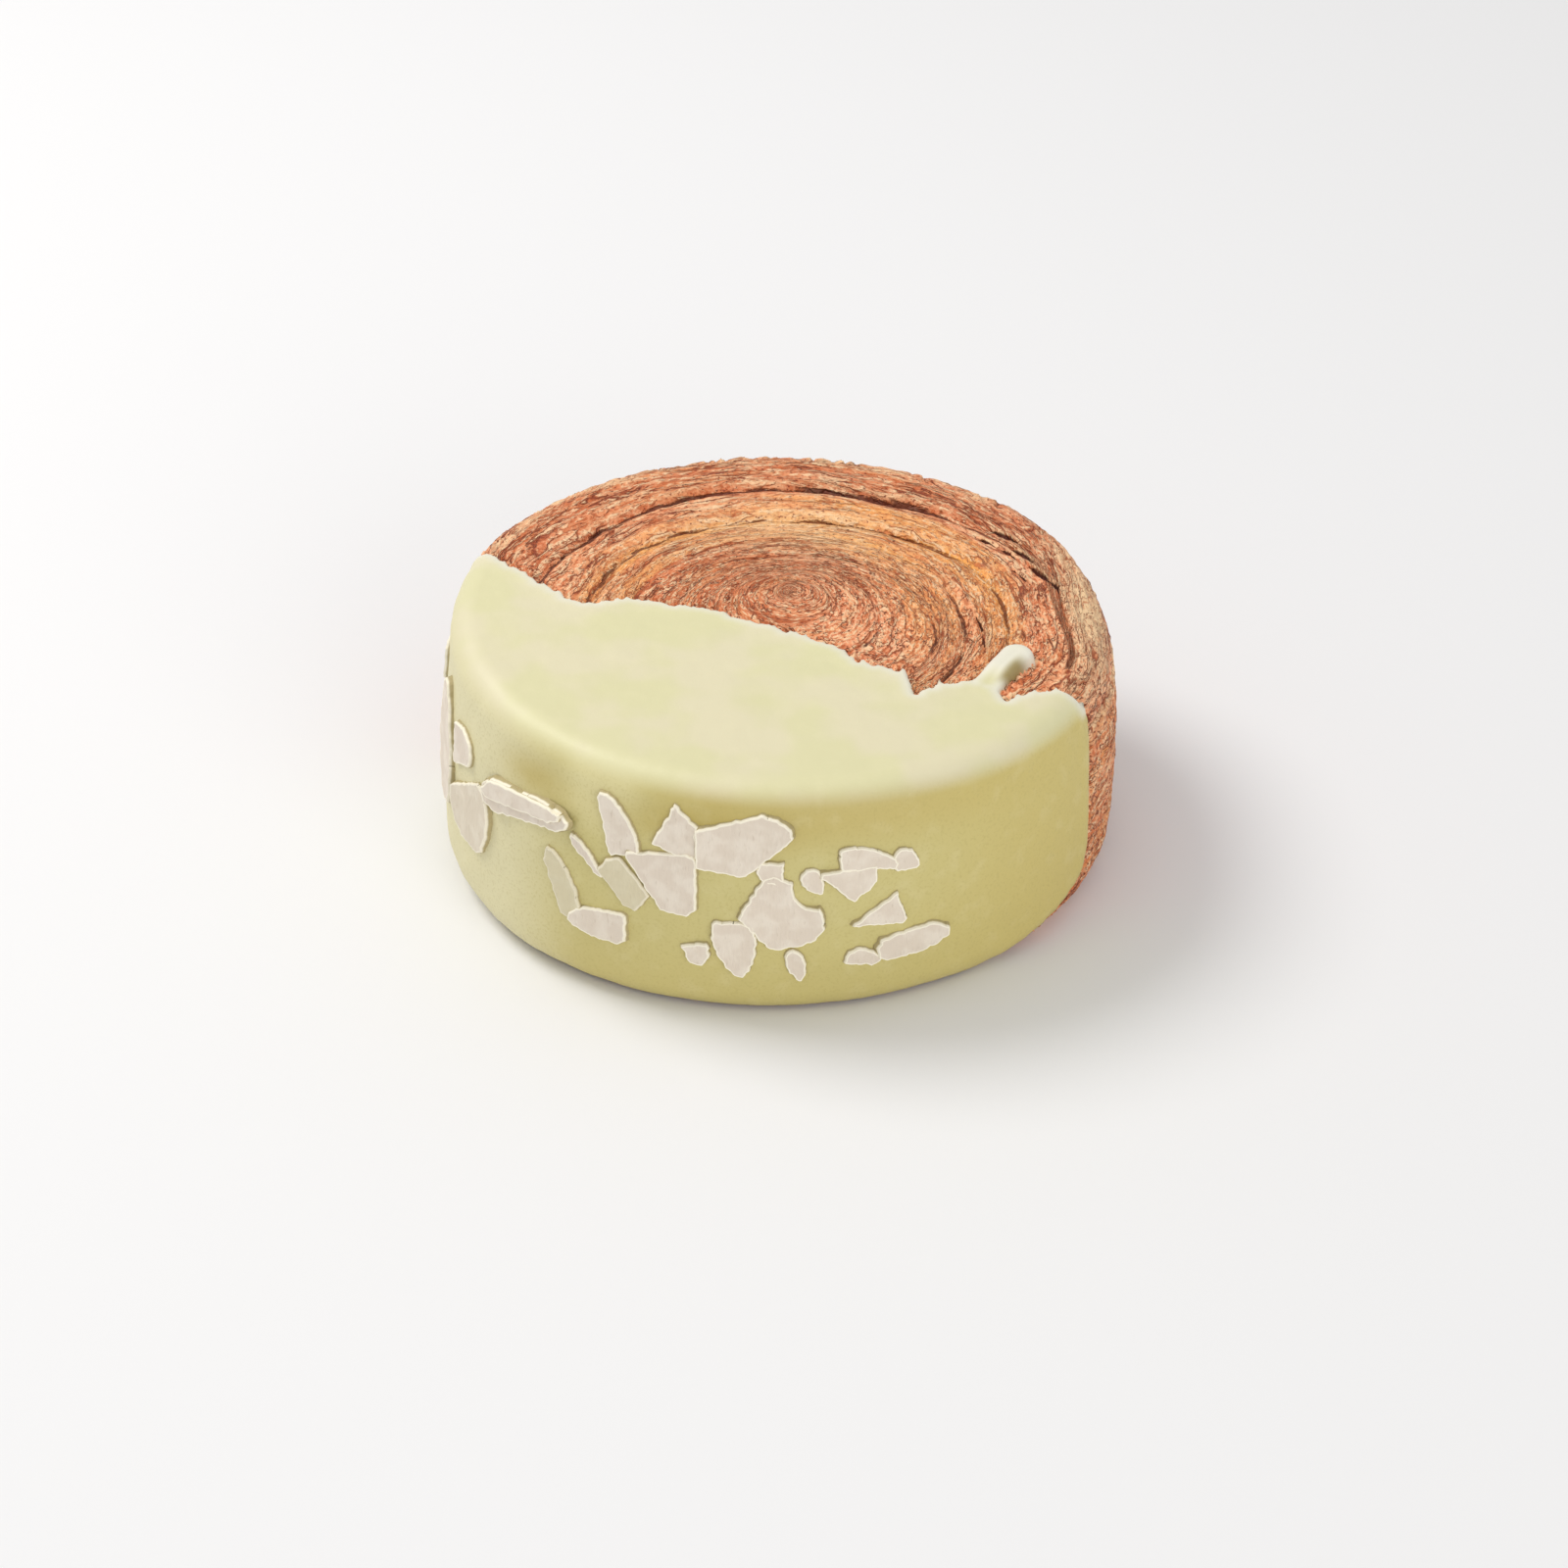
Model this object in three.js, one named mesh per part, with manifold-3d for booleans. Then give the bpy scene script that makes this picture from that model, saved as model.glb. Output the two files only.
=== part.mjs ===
// Pistachio dipped round croissant, in millimetres, +Z up.
// A band of laminated dough is rolled into a flat spiral and baked in a ring between two trays.
// One side is then dipped upright into pistachio coating, and flaked almonds stick to its wall.
// The origin is the middle of the flat base. +X is the pastry's right side and -Y its dipped front.
import * as THREE from 'three';
import { mergeVertices } from 'three/addons/utils/BufferGeometryUtils.js';
import Module from 'manifold-3d';

const rad = THREE.MathUtils.degToRad;
const lerp = THREE.MathUtils.lerp;
const clamp = THREE.MathUtils.clamp;
const smooth = THREE.MathUtils.smoothstep;

// The puck that the ring gives: its greatest radius, height and the rounding of both edges
const RADIUS = 53;
const HEIGHT = 41;
const TOP_ROUND = 4.2;
const FOOT_ROUND = 5.1;
const BARREL = 0.93;          // how far the wall draws in half a height above or below its widest level
const WIDEST_LEVEL = 12.9;
const OVAL = 0.008;           // longer across than deep
const OVAL_DIAGONAL = 0.018;  // and longer still from the right back to the left front
const LEAN = 2.06;            // the left edge rose this much higher than the middle, the right one less

// Places where the wall swells or sinks: azimuth, level, spread in degrees, spread in height, depth
const WALL_SWELLS = [
  [-5, 25, 30, 11, 0.35],
  [40, 37, 22, 8, 0.95],
  [150, 40, 15, 6, 0.8],
  [180, 33, 35, 9, -0.4],
  [215, 6, 35, 6, 0.5],
  [270, 5, 35, 5, -0.7],
];
const SOFT_SHOULDER = { azimuth: 6, spread: 17, extra: 3.4 };
// Under the outer form the top is rounded tighter and the foot wider, by these shares of the depth
const TOP_TIGHTENING = 0.6;
const FOOT_WIDENING = 0.4;

// The rolled band: its middle wanders as it winds, so the turns crowd together at the back
const EYE = new THREE.Vector2(1.5, 6);
const ROLL_MIDDLE = new THREE.Vector2(2, -3.5);
const ROLL_MIDDLE_RADIUS = 25;  // turns of this radius are centred on it
const ROLL_MIDDLE_UNTIL = 28;   // and wider ones drift back to the puck's axis
const RIM_INSET = 5.595;        // the flat of the top ends this far inside the widest radius
const RIM_RADIUS = RADIUS - RIM_INSET;
// Radius of the seam between turns, by the number of turns counted clockwise from the left
const SEAM = [
  [-3.45, 0.6], [-3, 3], [-2, 10], [-1, 18.2], [0, 26.6], [0.5, 27.4], [1, 32.2], [1.25, 31],
  [1.5, 34.4], [2, 40.8], [2.15, 38.9], [2.27, 39.8], [2.4, 43.2], [2.55, RIM_RADIUS],
];
const TAIL_AZIMUTH = -18;      // where the band's outer end runs into the rim
const TAIL_WIDTH = 7;          // how wide the band still is a full turn before its end, at least
const TURNS = 6;
const FIRST_TURN = (180 - TAIL_AZIMUTH) / 360 - 4;
// Depth of the seam, by the same count of turns: the outer ones tear open in the oven
const SEAM_DEPTH = [
  [-3.45, 0.9], [-2, 0.7], [-1, 0.5], [0, 0.8], [0.5, 1.1], [1, 1.5], [1.3, 1.7], [1.6, 1.3],
  [2, 2.4], [2.3, 2.6], [2.42, 1.8], [2.6, 0.6],
];
const INNER_FLANK = 0.238;    // share of a turn's width that slopes down to its inner seam
const OUTER_FLANK = 0.385;    // and to its outer one
// Ridges of the single leaves of dough on the top, which wander, and the torn places between them
const LEAF_RELIEF = 0.18;
const LEAVES_PER_TURN = 2.4;
const LEAF_WANDER = 0.6;
const LEAF_WAVES = 5;
const TORN_RELIEF = 0.21;
const TORN_ALONG = 16;        // torn places in each turn
const TORN_ACROSS = 6;        // and across the band
// The same on the wall, in mm of level and degrees of azimuth
const SIDE_LEAF_RELIEF = 0.42;
const SIDE_LEAF_PITCH = 4.6;
const SIDE_LEAF_CLIMB = 6;    // how far the leaves climb along the wall from the front to the back
const SIDE_LEAF_WANDER = 0.5;
const SIDE_LEAF_WAVE = 17;
const SIDE_TORN_RELIEF = 0.3;
const SIDE_TORN_SPREAD = 4;
const SIDE_TORN_HEIGHT = 1.6;
const FOOT_SMOOTH = 0.5;      // the lowest part of the foot rests flat and smooth
const BARE_DEPTH = 0.55;      // the bare dough lies this much lower than the coating beside it
const BARE_FROM = -2.5;       // it sinks between these two distances behind the coating's edge
const BARE_FULL = -0.5;
const RIM_LIP = 0.45;         // and its crisp rim stands up again by this much

// The grids: rows for each turn of the band, columns round the puck, and rows on edges and wall
const TURN_ROWS = 5;
const COLUMNS = 118;
const EDGE_ROWS = 3;
const WALL_ROWS = 10;
const CORE_COLUMNS = 72;
const CORE_WALL_ROWS = 3;
const CORE_TOP_RADII = [14, 28, 40];

// The coating: its thickness, the clear gap under it, and the level of its lower edge
const COATING = 1.2;
const GAP = 0.3;
const COATING_FOOT = 0.7;
const PRISM_TOP = 60;
const PRISM_REACH = 62;
// Edge of the dip seen from above, from the left rim to the right one
const DIP_EDGE = [
  [-PRISM_REACH, 21], [-50.5, 17.2], [-47.8, 15.5], [-43, 10.7], [-36.3, 4.4], [-31, 0.2], [-24, 1.8],
  [-18, 0.6], [-12, -0.2], [-5, -3.4], [1, -6], [9, -10.6], [13.5, -15.2], [19, -16.6], [25, -19.6],
  [30, -18.4], [35, -21.6], [40, -21], [45, -20.4], [48, -22], [PRISM_REACH, -28],
];
const DIP_STEP = 1.19;
const SCALLOP = 0.55;         // small waves where the coating crept over the ridges of the dough
const SCALLOP_PITCH = 4.7;
// Places where the bare dough cuts into the coating: x, half width, depth
const DIP_NOTCHES = [[20.2, 1.7, 5.2], [34.2, 2.2, 2.4]];
// A finger of coating that ran back over the dough, as a raised round drop
const FINGER = { from: [31.4, -19.5], to: [36.2, -11.6], radius: 2.5, flat: 0.62 };
// Under the right end of the coating a strip of bare dough shows: where it starts and its slope
const FOOT_STRIP = { azimuth: -48, slope: 15, length: 60, depth: 12, rise: 30 };

// Flaked almonds on the wall: azimuth, level, length, width, turn of the slice's pointed end, and
// the straight breaks that shorten it, each by the way that it faces and its distance from the middle.
// A third number in a break makes it a round bite of that radius.
const FLAKE_THICKNESS = 1.2;
const FLAKE_STAND = 0.6;      // how far the middle of a flake stands out of the coating
const FLAKE_POINTS = 11;
const FLAKE_TAPER = 0.3;      // how much narrower than an ellipse the pointed end is
const BITE_STEP = 1.2;        // an outline that is bitten first gets a point at least this often
const FLAKES = [
  [-167, 23.2, 21, 10, 97, [[40, 6.5]]],
  [-156.5, 27.4, 9, 8, 30, [[-64, 2.4], [180, 3.1]]],
  [-152, 19.1, 15, 12, 48, [[121, 4.3], [-90, 6.5]]],
  [-136.2, 27.6, 20, 6.4, 10, [[97, 2.5], [-76, 2.2]]],
  [-122.2, 24.3, 7, 2.6, -42, []],
  [-117.8, 30.9, 12, 5.8, 113, [[90, 5.2], [-75, 4.4], [192, 1.9]]],
  [-128.3, 17.7, 13, 7, 106, [[60, 4.2], [200, 2.6]]],
  [-120.5, 13.6, 11.4, 6, 188, [[0, 4.3], [100, 2.3]]],
  [-115.7, 21.5, 10, 7.2, -42, [[42, 2.4], [219, 2.5], [-35, 3.4]]],
  [-108.7, 24, 14, 13, 25, [[0, 4.4], [-92, 5.3], [213, 3.7], [100, 4.8]]],
  [-106.9, 32.2, 12, 9, 100, [[154, 2.7], [47, 3.2], [0, 2.7], [250, 3.3]]],
  [-97, 31.6, 17, 12, 20, [[109, 4], [180, 6.4], [-45, 4.4], [-97, 5]]],
  [-91.2, 27.4, 5, 4.4, -45, [[90, 1.5], [0, 1.3]]],
  [-90.5, 19.6, 14.4, 12.6, -22, [[150, 5.2], [-140, 4.8], [42, 7.6, 3.8]]],
  [-97.6, 14.2, 12, 6.4, -82, [[90, 4]]],
  [-104.2, 12.4, 5.4, 4.4, -70, [[104, 1.2], [200, 1.6]]],
  [-87.7, 10.5, 6.2, 2.7, -76, []],
  [-84.8, 25.5, 4.8, 3, -60, []],
  [-76, 28.4, 10.4, 4.2, -15, [[-95, 1.4], [180, 4]]],
  [-78, 25.1, 11, 8, 10, [[224, 2.7], [-49, 2.6], [0, 3.4], [92, 2.2]]],
  [-69.1, 27.3, 4.4, 3.6, -30, []],
  [-72.8, 18.5, 11, 7, 25, [[-97, 1.8], [18, 2.7], [123, 1.8]]],
  [-67.7, 12.5, 12, 6, 4, [[96, 2], [-90, 2.6]]],
  [-76.5, 10.7, 5.6, 3.6, -10, [[-106, 1]]],
  [176, 28, 9.6, 7, 60, [[150, 2.8], [-60, 3]]],
  [177, 13, 10, 6.6, 20, [[180, 3.6]]],
];

const pastryFinish = new THREE.MeshStandardMaterial({ color: 0xcd8d60, roughness: 0.75, metalness: 0 });
const coatingFinish = new THREE.MeshStandardMaterial({ color: 0xd3cb94, roughness: 0.45, metalness: 0 });

// Repeatable unevenness between -1 and 1, smooth over a cell of size 1
function hash(i, j) {
  const s = Math.sin(i * 127.1 + j * 311.7) * 43758.5453;
  return s - Math.floor(s);
}

function unevenness(x, y) {
  const i = Math.floor(x);
  const j = Math.floor(y);
  const u = smooth(x - i, 0, 1);
  const v = smooth(y - j, 0, 1);
  const low = lerp(hash(i, j), hash(i + 1, j), u);
  const high = lerp(hash(i, j + 1), hash(i + 1, j + 1), u);
  return 2 * lerp(low, high, v) - 1;
}

// A smooth curve y(x) through rows of [x, y], as steep at each row as the line between its neighbours
function curveThrough(rows, x) {
  let k = 0;
  while (k < rows.length - 2 && x > rows[k + 1][0]) k += 1;
  const [x0, y0] = rows[k];
  const [x1, y1] = rows[k + 1];
  const before = rows[Math.max(k - 1, 0)];
  const after = rows[Math.min(k + 2, rows.length - 1)];
  const span = x1 - x0;
  const t = clamp((x - x0) / span, 0, 1);
  const slope0 = (y1 - before[1]) / (x1 - before[0]) * span;
  const slope1 = (after[1] - y0) / (after[0] - x0) * span;
  const t2 = t * t;
  const t3 = t2 * t;
  return (2 * t3 - 3 * t2 + 1) * y0 + (t3 - 2 * t2 + t) * slope0
    + (3 * t2 - 2 * t3) * y1 + (t3 - t2) * slope1;
}

// 1 at the middle of a place on the wall, falling to 0 past its spread
function nearness(azimuth, middle, spread) {
  const turn = THREE.MathUtils.euclideanModulo(azimuth - middle + 180, 360) - 180;
  return Math.exp(-((turn / spread) ** 2));
}

// The puck's outer form: a point of its profile, carried round to an azimuth in degrees
function onPuck(azimuth, radius, level) {
  const a = rad(azimuth);
  let r = radius - BARREL * ((level - WIDEST_LEVEL) / (HEIGHT / 2)) ** 2 * (radius / RADIUS);
  for (const [middle, height, spread, tall, depth] of WALL_SWELLS) {
    r += depth * nearness(azimuth, middle, spread) * Math.exp(-(((level - height) / tall) ** 2))
      * smooth(radius, RADIUS - FOOT_ROUND, RADIUS);
  }
  r *= 1 + OVAL * Math.cos(2 * a) + OVAL_DIAGONAL * Math.sin(2 * a);
  const x = r * Math.cos(a);
  return new THREE.Vector3(x, r * Math.sin(a), level - LEAN * (level / HEIGHT) * (x / RADIUS));
}

// The profile's edge rows from the top's rim to the base, at some depth under the outer form
function profileRows(azimuth, depth, edgeRows, wallRows) {
  const soft = SOFT_SHOULDER.extra * nearness(azimuth, SOFT_SHOULDER.azimuth, SOFT_SHOULDER.spread);
  const topRound = TOP_ROUND + soft - depth * TOP_TIGHTENING;
  const footRound = FOOT_ROUND + depth * FOOT_WIDENING;
  const outer = RADIUS - depth;
  const high = HEIGHT - depth;
  const rows = [];
  for (let k = 0; k <= edgeRows; k += 1) {
    const a = rad(90 - 90 * k / edgeRows);
    rows.push([outer - topRound + topRound * Math.cos(a), high - topRound + topRound * Math.sin(a)]);
  }
  for (let k = 1; k < wallRows; k += 1) {
    rows.push([outer, lerp(high - topRound, footRound, k / wallRows)]);
  }
  for (let k = 0; k <= edgeRows; k += 1) {
    const a = rad(90 * k / edgeRows);
    rows.push([outer - footRound + footRound * Math.cos(a), footRound - footRound * Math.sin(a)]);
  }
  return rows;
}

function geometryOf(points, faces) {
  const geometry = new THREE.BufferGeometry().setFromPoints(points);
  geometry.setIndex(faces.flat());
  return geometry;
}

// The smooth puck at some depth under the outer form, as rings joined row by row
function corePuck(depth) {
  const points = [new THREE.Vector3(0, 0, HEIGHT - depth)];
  const rings = [];
  for (let i = 0; i < CORE_COLUMNS; i += 1) {
    const azimuth = 360 * i / CORE_COLUMNS;
    const column = CORE_TOP_RADII.map((radius) => [radius, HEIGHT - depth]);
    column.push(...profileRows(azimuth, depth, EDGE_ROWS, CORE_WALL_ROWS));
    rings.push(column.map(([radius, level]) => {
      points.push(onPuck(azimuth, radius, level));
      return points.length - 1;
    }));
  }
  points.push(new THREE.Vector3(0, 0, 0));
  const faces = [];
  for (let i = 0; i < CORE_COLUMNS; i += 1) {
    const here = rings[i];
    const next = rings[(i + 1) % CORE_COLUMNS];
    faces.push([0, here[0], next[0]]);
    for (let k = 0; k < here.length - 1; k += 1) {
      faces.push([here[k], here[k + 1], next[k + 1]], [here[k], next[k + 1], next[k]]);
    }
    faces.push([here[here.length - 1], points.length - 1, next[next.length - 1]]);
  }
  return geometryOf(points, faces);
}

// Middle of the turn whose radius is given: from the eye forward, and back to the puck's axis
function rollMiddle(radius) {
  const outward = smooth(radius, 0, ROLL_MIDDLE_RADIUS);
  const home = smooth(radius, ROLL_MIDDLE_UNTIL, RIM_RADIUS);
  return EYE.clone().lerp(ROLL_MIDDLE, outward).multiplyScalar(1 - home);
}

// The edge of the dip at x, and whether a place seen from above is left bare
function dipEdge(x) {
  let y = curveThrough(DIP_EDGE, x);
  y += SCALLOP * unevenness(x / SCALLOP_PITCH * 2, 3) * (Math.abs(x) < RADIUS ? 1 : 0);
  for (const [middle, half, depth] of DIP_NOTCHES) {
    y -= depth * Math.max(0, 1 - Math.abs(x - middle) / half);
  }
  return y;
}

function bareness(x, y) {
  return smooth(y - dipEdge(x), BARE_FROM, BARE_FULL);
}

// How far the top of the rolled band lies under the outer form, by turn, place across it and angle
function topRelief(turns, across, x, y) {
  const seam = turns - across;
  const inner = curveThrough(SEAM_DEPTH, seam) * Math.max(0, 1 - across / INNER_FLANK);
  const outer = curveThrough(SEAM_DEPTH, seam + 1) * Math.max(0, 1 - (1 - across) / OUTER_FLANK) ** 2;
  const leaves = across * LEAVES_PER_TURN + LEAF_WANDER * unevenness(turns * LEAF_WAVES, 1);
  const leaf = LEAF_RELIEF * Math.sin(2 * Math.PI * leaves);
  const torn = TORN_RELIEF * unevenness(turns * TORN_ALONG, across * TORN_ACROSS);
  return (BARE_DEPTH + inner + outer + leaf + torn) * bareness(x, y);
}

// The same on the shoulder and the wall, where the leaves run round the puck and climb to the back
function sideRelief(azimuth, radius, level) {
  const behind = 1 - Math.cos(rad(azimuth + 90));
  const climbed = level - SIDE_LEAF_CLIMB * behind / 2;
  const run = climbed / SIDE_LEAF_PITCH + SIDE_LEAF_WANDER * unevenness(azimuth / SIDE_LEAF_WAVE, 5);
  const leaf = 0.5 - 0.5 * Math.cos(2 * Math.PI * run);
  const torn = 0.5 + 0.5 * unevenness(azimuth / SIDE_TORN_SPREAD, level / SIDE_TORN_HEIGHT);
  const wall = smooth(radius, RADIUS - TOP_ROUND, RADIUS) * smooth(level, FOOT_SMOOTH, FOOT_ROUND);
  const rim = smooth(level, HEIGHT - TOP_ROUND, HEIGHT);
  const wallDepth = (SIDE_LEAF_RELIEF * leaf + SIDE_TORN_RELIEF * torn) * wall;
  return lerp(wallDepth, BARE_DEPTH - RIM_LIP * torn, rim);
}

// The rolled and baked pastry: a grid whose upper rows wind with the band and whose others are rings
function rolledPuck() {
  const spiralRows = TURNS * TURN_ROWS;
  const lastTurn = spiralRows - TURN_ROWS;
  const points = [];
  const at = [];
  for (let i = 0; i < COLUMNS; i += 1) {
    const wound = i / COLUMNS;
    const azimuth = TAIL_AZIMUTH - 360 * wound;
    const rows = profileRows(azimuth, 0, EDGE_ROWS, WALL_ROWS);
    const rim = rows[0][0];
    const column = [];
    for (let row = 0; row < spiralRows; row += 1) {
      const outermost = Math.max(0, row - lastTurn) / TURN_ROWS;
      const turns = FIRST_TURN + (row - Math.max(0, row - lastTurn)) / TURN_ROWS + wound;
      const seam = Math.min(curveThrough(SEAM, turns), rim - TAIL_WIDTH * Math.sqrt(1 - wound));
      const radius = lerp(seam, rim, outermost);
      const across = row % TURN_ROWS / TURN_ROWS;
      const plan = rollMiddle(radius);
      plan.x += radius * Math.cos(rad(azimuth));
      plan.y += radius * Math.sin(rad(azimuth));
      const wide = Math.hypot(plan.x, plan.y);
      const point = onPuck(THREE.MathUtils.radToDeg(Math.atan2(plan.y, plan.x)), wide, HEIGHT);
      point.z -= topRelief(turns + outermost, across, point.x, point.y);
      column.push(points.length);
      points.push(point);
    }
    for (const [radius, level] of rows) {
      const out = onPuck(azimuth, radius, level);
      const inward = new THREE.Vector3(-out.x, -out.y, 0).normalize();
      const steep = smooth(radius, RADIUS - TOP_ROUND - 1, RADIUS);
      const depth = sideRelief(azimuth, radius, level) * bareness(out.x, out.y);
      out.addScaledVector(inward, depth * steep);
      out.z -= level > HEIGHT / 2 ? depth * (1 - steep) : 0;
      column.push(points.length);
      points.push(out);
    }
    at.push(column);
  }
  const vertex = (row, i) => {
    if (i < COLUMNS) return at[i][row];
    if (row >= spiralRows) return at[0][row];
    return at[0][Math.min(row + TURN_ROWS, spiralRows)];
  };
  const faces = [];
  const addFace = (a, b, c) => {
    if (a !== b && b !== c && c !== a) faces.push([a, b, c]);
  };
  const eye = points.length;
  points.push(new THREE.Vector3(EYE.x, EYE.y, HEIGHT - BARE_DEPTH - curveThrough(SEAM_DEPTH, FIRST_TURN)));
  const base = points.length;
  points.push(new THREE.Vector3(0, 0, 0));
  const lastRow = at[0].length - 1;
  for (let i = 0; i < COLUMNS; i += 1) {
    addFace(eye, vertex(0, i + 1), vertex(0, i));
    for (let row = 0; row < lastRow; row += 1) {
      addFace(vertex(row, i), vertex(row, i + 1), vertex(row + 1, i + 1));
      addFace(vertex(row, i), vertex(row + 1, i + 1), vertex(row + 1, i));
    }
    addFace(base, vertex(lastRow, i), vertex(lastRow, i + 1));
  }
  for (let row = TURN_ROWS; row > 0; row -= 1) {
    addFace(eye, vertex(row - 1, 0), vertex(row, 0));
  }
  return geometryOf(points, faces);
}

// The upright block of everything that went into the coating, grown by some clearance
function dipBlock(clearance) {
  const outline = [
    new THREE.Vector2(-PRISM_REACH, -PRISM_REACH),
    new THREE.Vector2(PRISM_REACH, -PRISM_REACH),
  ];
  for (let x = PRISM_REACH; x >= -PRISM_REACH; x -= DIP_STEP) {
    let y = dipEdge(x);
    for (let share = -1; share <= 1; share += 0.25) {
      const reach = clearance * Math.sqrt(1 - share * share);
      y = Math.max(y, dipEdge(x + share * clearance) + reach);
    }
    outline.push(new THREE.Vector2(x, y));
  }
  const floor = COATING_FOOT - clearance;
  const geometry = new THREE.ExtrudeGeometry(new THREE.Shape(outline), {
    depth: PRISM_TOP - floor,
    bevelEnabled: false,
  });
  return geometry.translate(0, 0, floor);
}

// The wedge under the coating's right end, where it stopped short of the base
function footWedge(clearance) {
  const { azimuth, slope, length, depth, rise } = FOOT_STRIP;
  const wedge = new THREE.BoxGeometry(depth * 2, length, rise);
  wedge.translate(0, length / 2, -rise / 2 - clearance);
  wedge.rotateX(rad(slope));
  wedge.rotateZ(rad(azimuth));
  const start = onPuck(azimuth, RADIUS, COATING_FOOT);
  return wedge.translate(start.x, start.y, COATING_FOOT);
}

function fingerDrop(clearance) {
  const from = new THREE.Vector2(...FINGER.from);
  const to = new THREE.Vector2(...FINGER.to);
  const run = to.clone().sub(from);
  const drop = new THREE.CapsuleGeometry(FINGER.radius + clearance, run.length(), 4, 14);
  drop.scale(1, 1, (FINGER.radius * FINGER.flat + clearance) / (FINGER.radius + clearance));
  drop.rotateZ(Math.atan2(run.y, run.x) - Math.PI / 2);
  const middle = from.add(to).divideScalar(2);
  return drop.translate(middle.x, middle.y, HEIGHT - LEAN * middle.x / RADIUS - COATING / 2);
}

// Points moved out of a round bite, on an outline with more points
function bitten(outline, middle, radius) {
  const fine = [];
  outline.forEach((point, k) => {
    const next = outline[(k + 1) % outline.length];
    const parts = Math.ceil(point.distanceTo(next) / BITE_STEP);
    for (let part = 0; part < parts; part += 1) fine.push(point.clone().lerp(next, part / parts));
  });
  return fine.map((point) => {
    const away = point.clone().sub(middle);
    return away.length() < radius ? middle.clone().add(away.setLength(radius)) : point;
  });
}

// A slice of almond: pointed at one end, turned, then shortened by its breaks
function flakeOutline(length, width, turn, breaks) {
  let outline = [];
  for (let k = 0; k < FLAKE_POINTS; k += 1) {
    const a = 2 * Math.PI * k / FLAKE_POINTS;
    const taper = 1 - FLAKE_TAPER * Math.cos(a);
    const point = new THREE.Vector2(length / 2 * Math.cos(a), width / 2 * Math.sin(a) * taper);
    outline.push(point.rotateAround(new THREE.Vector2(), rad(turn)));
  }
  for (const [facing, distance, radius] of breaks) {
    const normal = new THREE.Vector2(Math.cos(rad(facing)), Math.sin(rad(facing)));
    if (radius) {
      outline = bitten(outline, normal.clone().multiplyScalar(distance), radius);
      continue;
    }
    const kept = [];
    outline.forEach((point, k) => {
      const next = outline[(k + 1) % outline.length];
      const over = point.dot(normal) - distance;
      const overNext = next.dot(normal) - distance;
      if (over <= 0) kept.push(point);
      if (over * overNext < 0) kept.push(point.clone().lerp(next, over / (over - overNext)));
    });
    outline = kept;
  }
  return outline;
}

function almondFlake([azimuth, level, length, width, turn, breaks]) {
  const shape = new THREE.Shape(flakeOutline(length, width, turn, breaks));
  const flake = new THREE.ExtrudeGeometry(shape, { depth: FLAKE_THICKNESS, bevelEnabled: false });
  flake.translate(0, 0, FLAKE_STAND - FLAKE_THICKNESS);
  const here = onPuck(azimuth, RADIUS, level);
  const across = onPuck(azimuth + 1, RADIUS, level).sub(onPuck(azimuth - 1, RADIUS, level)).normalize();
  const upward = onPuck(azimuth, RADIUS, level + 1).sub(onPuck(azimuth, RADIUS, level - 1)).normalize();
  const outward = across.clone().cross(upward).normalize();
  upward.crossVectors(outward, across);
  const frame = new THREE.Matrix4().makeBasis(across, upward, outward);
  frame.setPosition(here);
  return flake.applyMatrix4(frame);
}

const wasm = await Module();
wasm.setup();

function toSolid(geometry) {
  const bare = geometry.clone();
  bare.deleteAttribute('normal');
  bare.deleteAttribute('uv');
  const merged = mergeVertices(bare, 1e-5);
  const mesh = new wasm.Mesh({
    numProp: 3,
    vertProperties: new Float32Array(merged.attributes.position.array),
    triVerts: new Uint32Array(merged.index.array),
  });
  return new wasm.Manifold(mesh);
}

function toMesh(solid, name, finish) {
  const { vertProperties, triVerts } = solid.getMesh();
  const geometry = new THREE.BufferGeometry();
  geometry.setAttribute('position', new THREE.BufferAttribute(vertProperties, 3));
  geometry.setIndex(new THREE.BufferAttribute(triVerts, 1));
  geometry.computeVertexNormals();
  const mesh = new THREE.Mesh(geometry, finish);
  mesh.name = name;
  return mesh;
}

// The coating: the outer form less the core, inside the dipped block, with its flakes fused on
function coatingSolid() {
  const core = toSolid(corePuck(COATING));
  let coating = toSolid(corePuck(0)).intersect(toSolid(dipBlock(0)));
  coating = coating.subtract(toSolid(footWedge(0))).add(toSolid(fingerDrop(0)));
  for (const flake of FLAKES) {
    coating = coating.add(toSolid(almondFlake(flake)));
  }
  return coating.subtract(core);
}

// The pastry steps down where the coating lies on it, with a thin clear gap between the two
function pastrySolid() {
  let pocket = toSolid(dipBlock(GAP)).subtract(toSolid(footWedge(GAP)));
  pocket = pocket.subtract(toSolid(corePuck(COATING + GAP)));
  return toSolid(rolledPuck()).subtract(pocket).subtract(toSolid(fingerDrop(GAP)));
}

const croissant = new THREE.Group();
croissant.add(toMesh(pastrySolid(), 'pastry', pastryFinish));
croissant.add(toMesh(coatingSolid(), 'pistachio_glaze', coatingFinish));

export default croissant;
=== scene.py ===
# %% [markdown]
# # A round croissant in a pistachio coat
# The real one is a strip of laminated dough, rolled up like a tape, baked in a ring between two trays
# and dipped on its side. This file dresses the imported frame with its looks: the rolled top, the baked
# wall, the coating and the almond flakes. Every table is in millimetres, as on a baker's rule, and MM
# turns it into Blender's metres.

import math

import bpy
import numpy as np
from mathutils import Matrix, Vector


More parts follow.
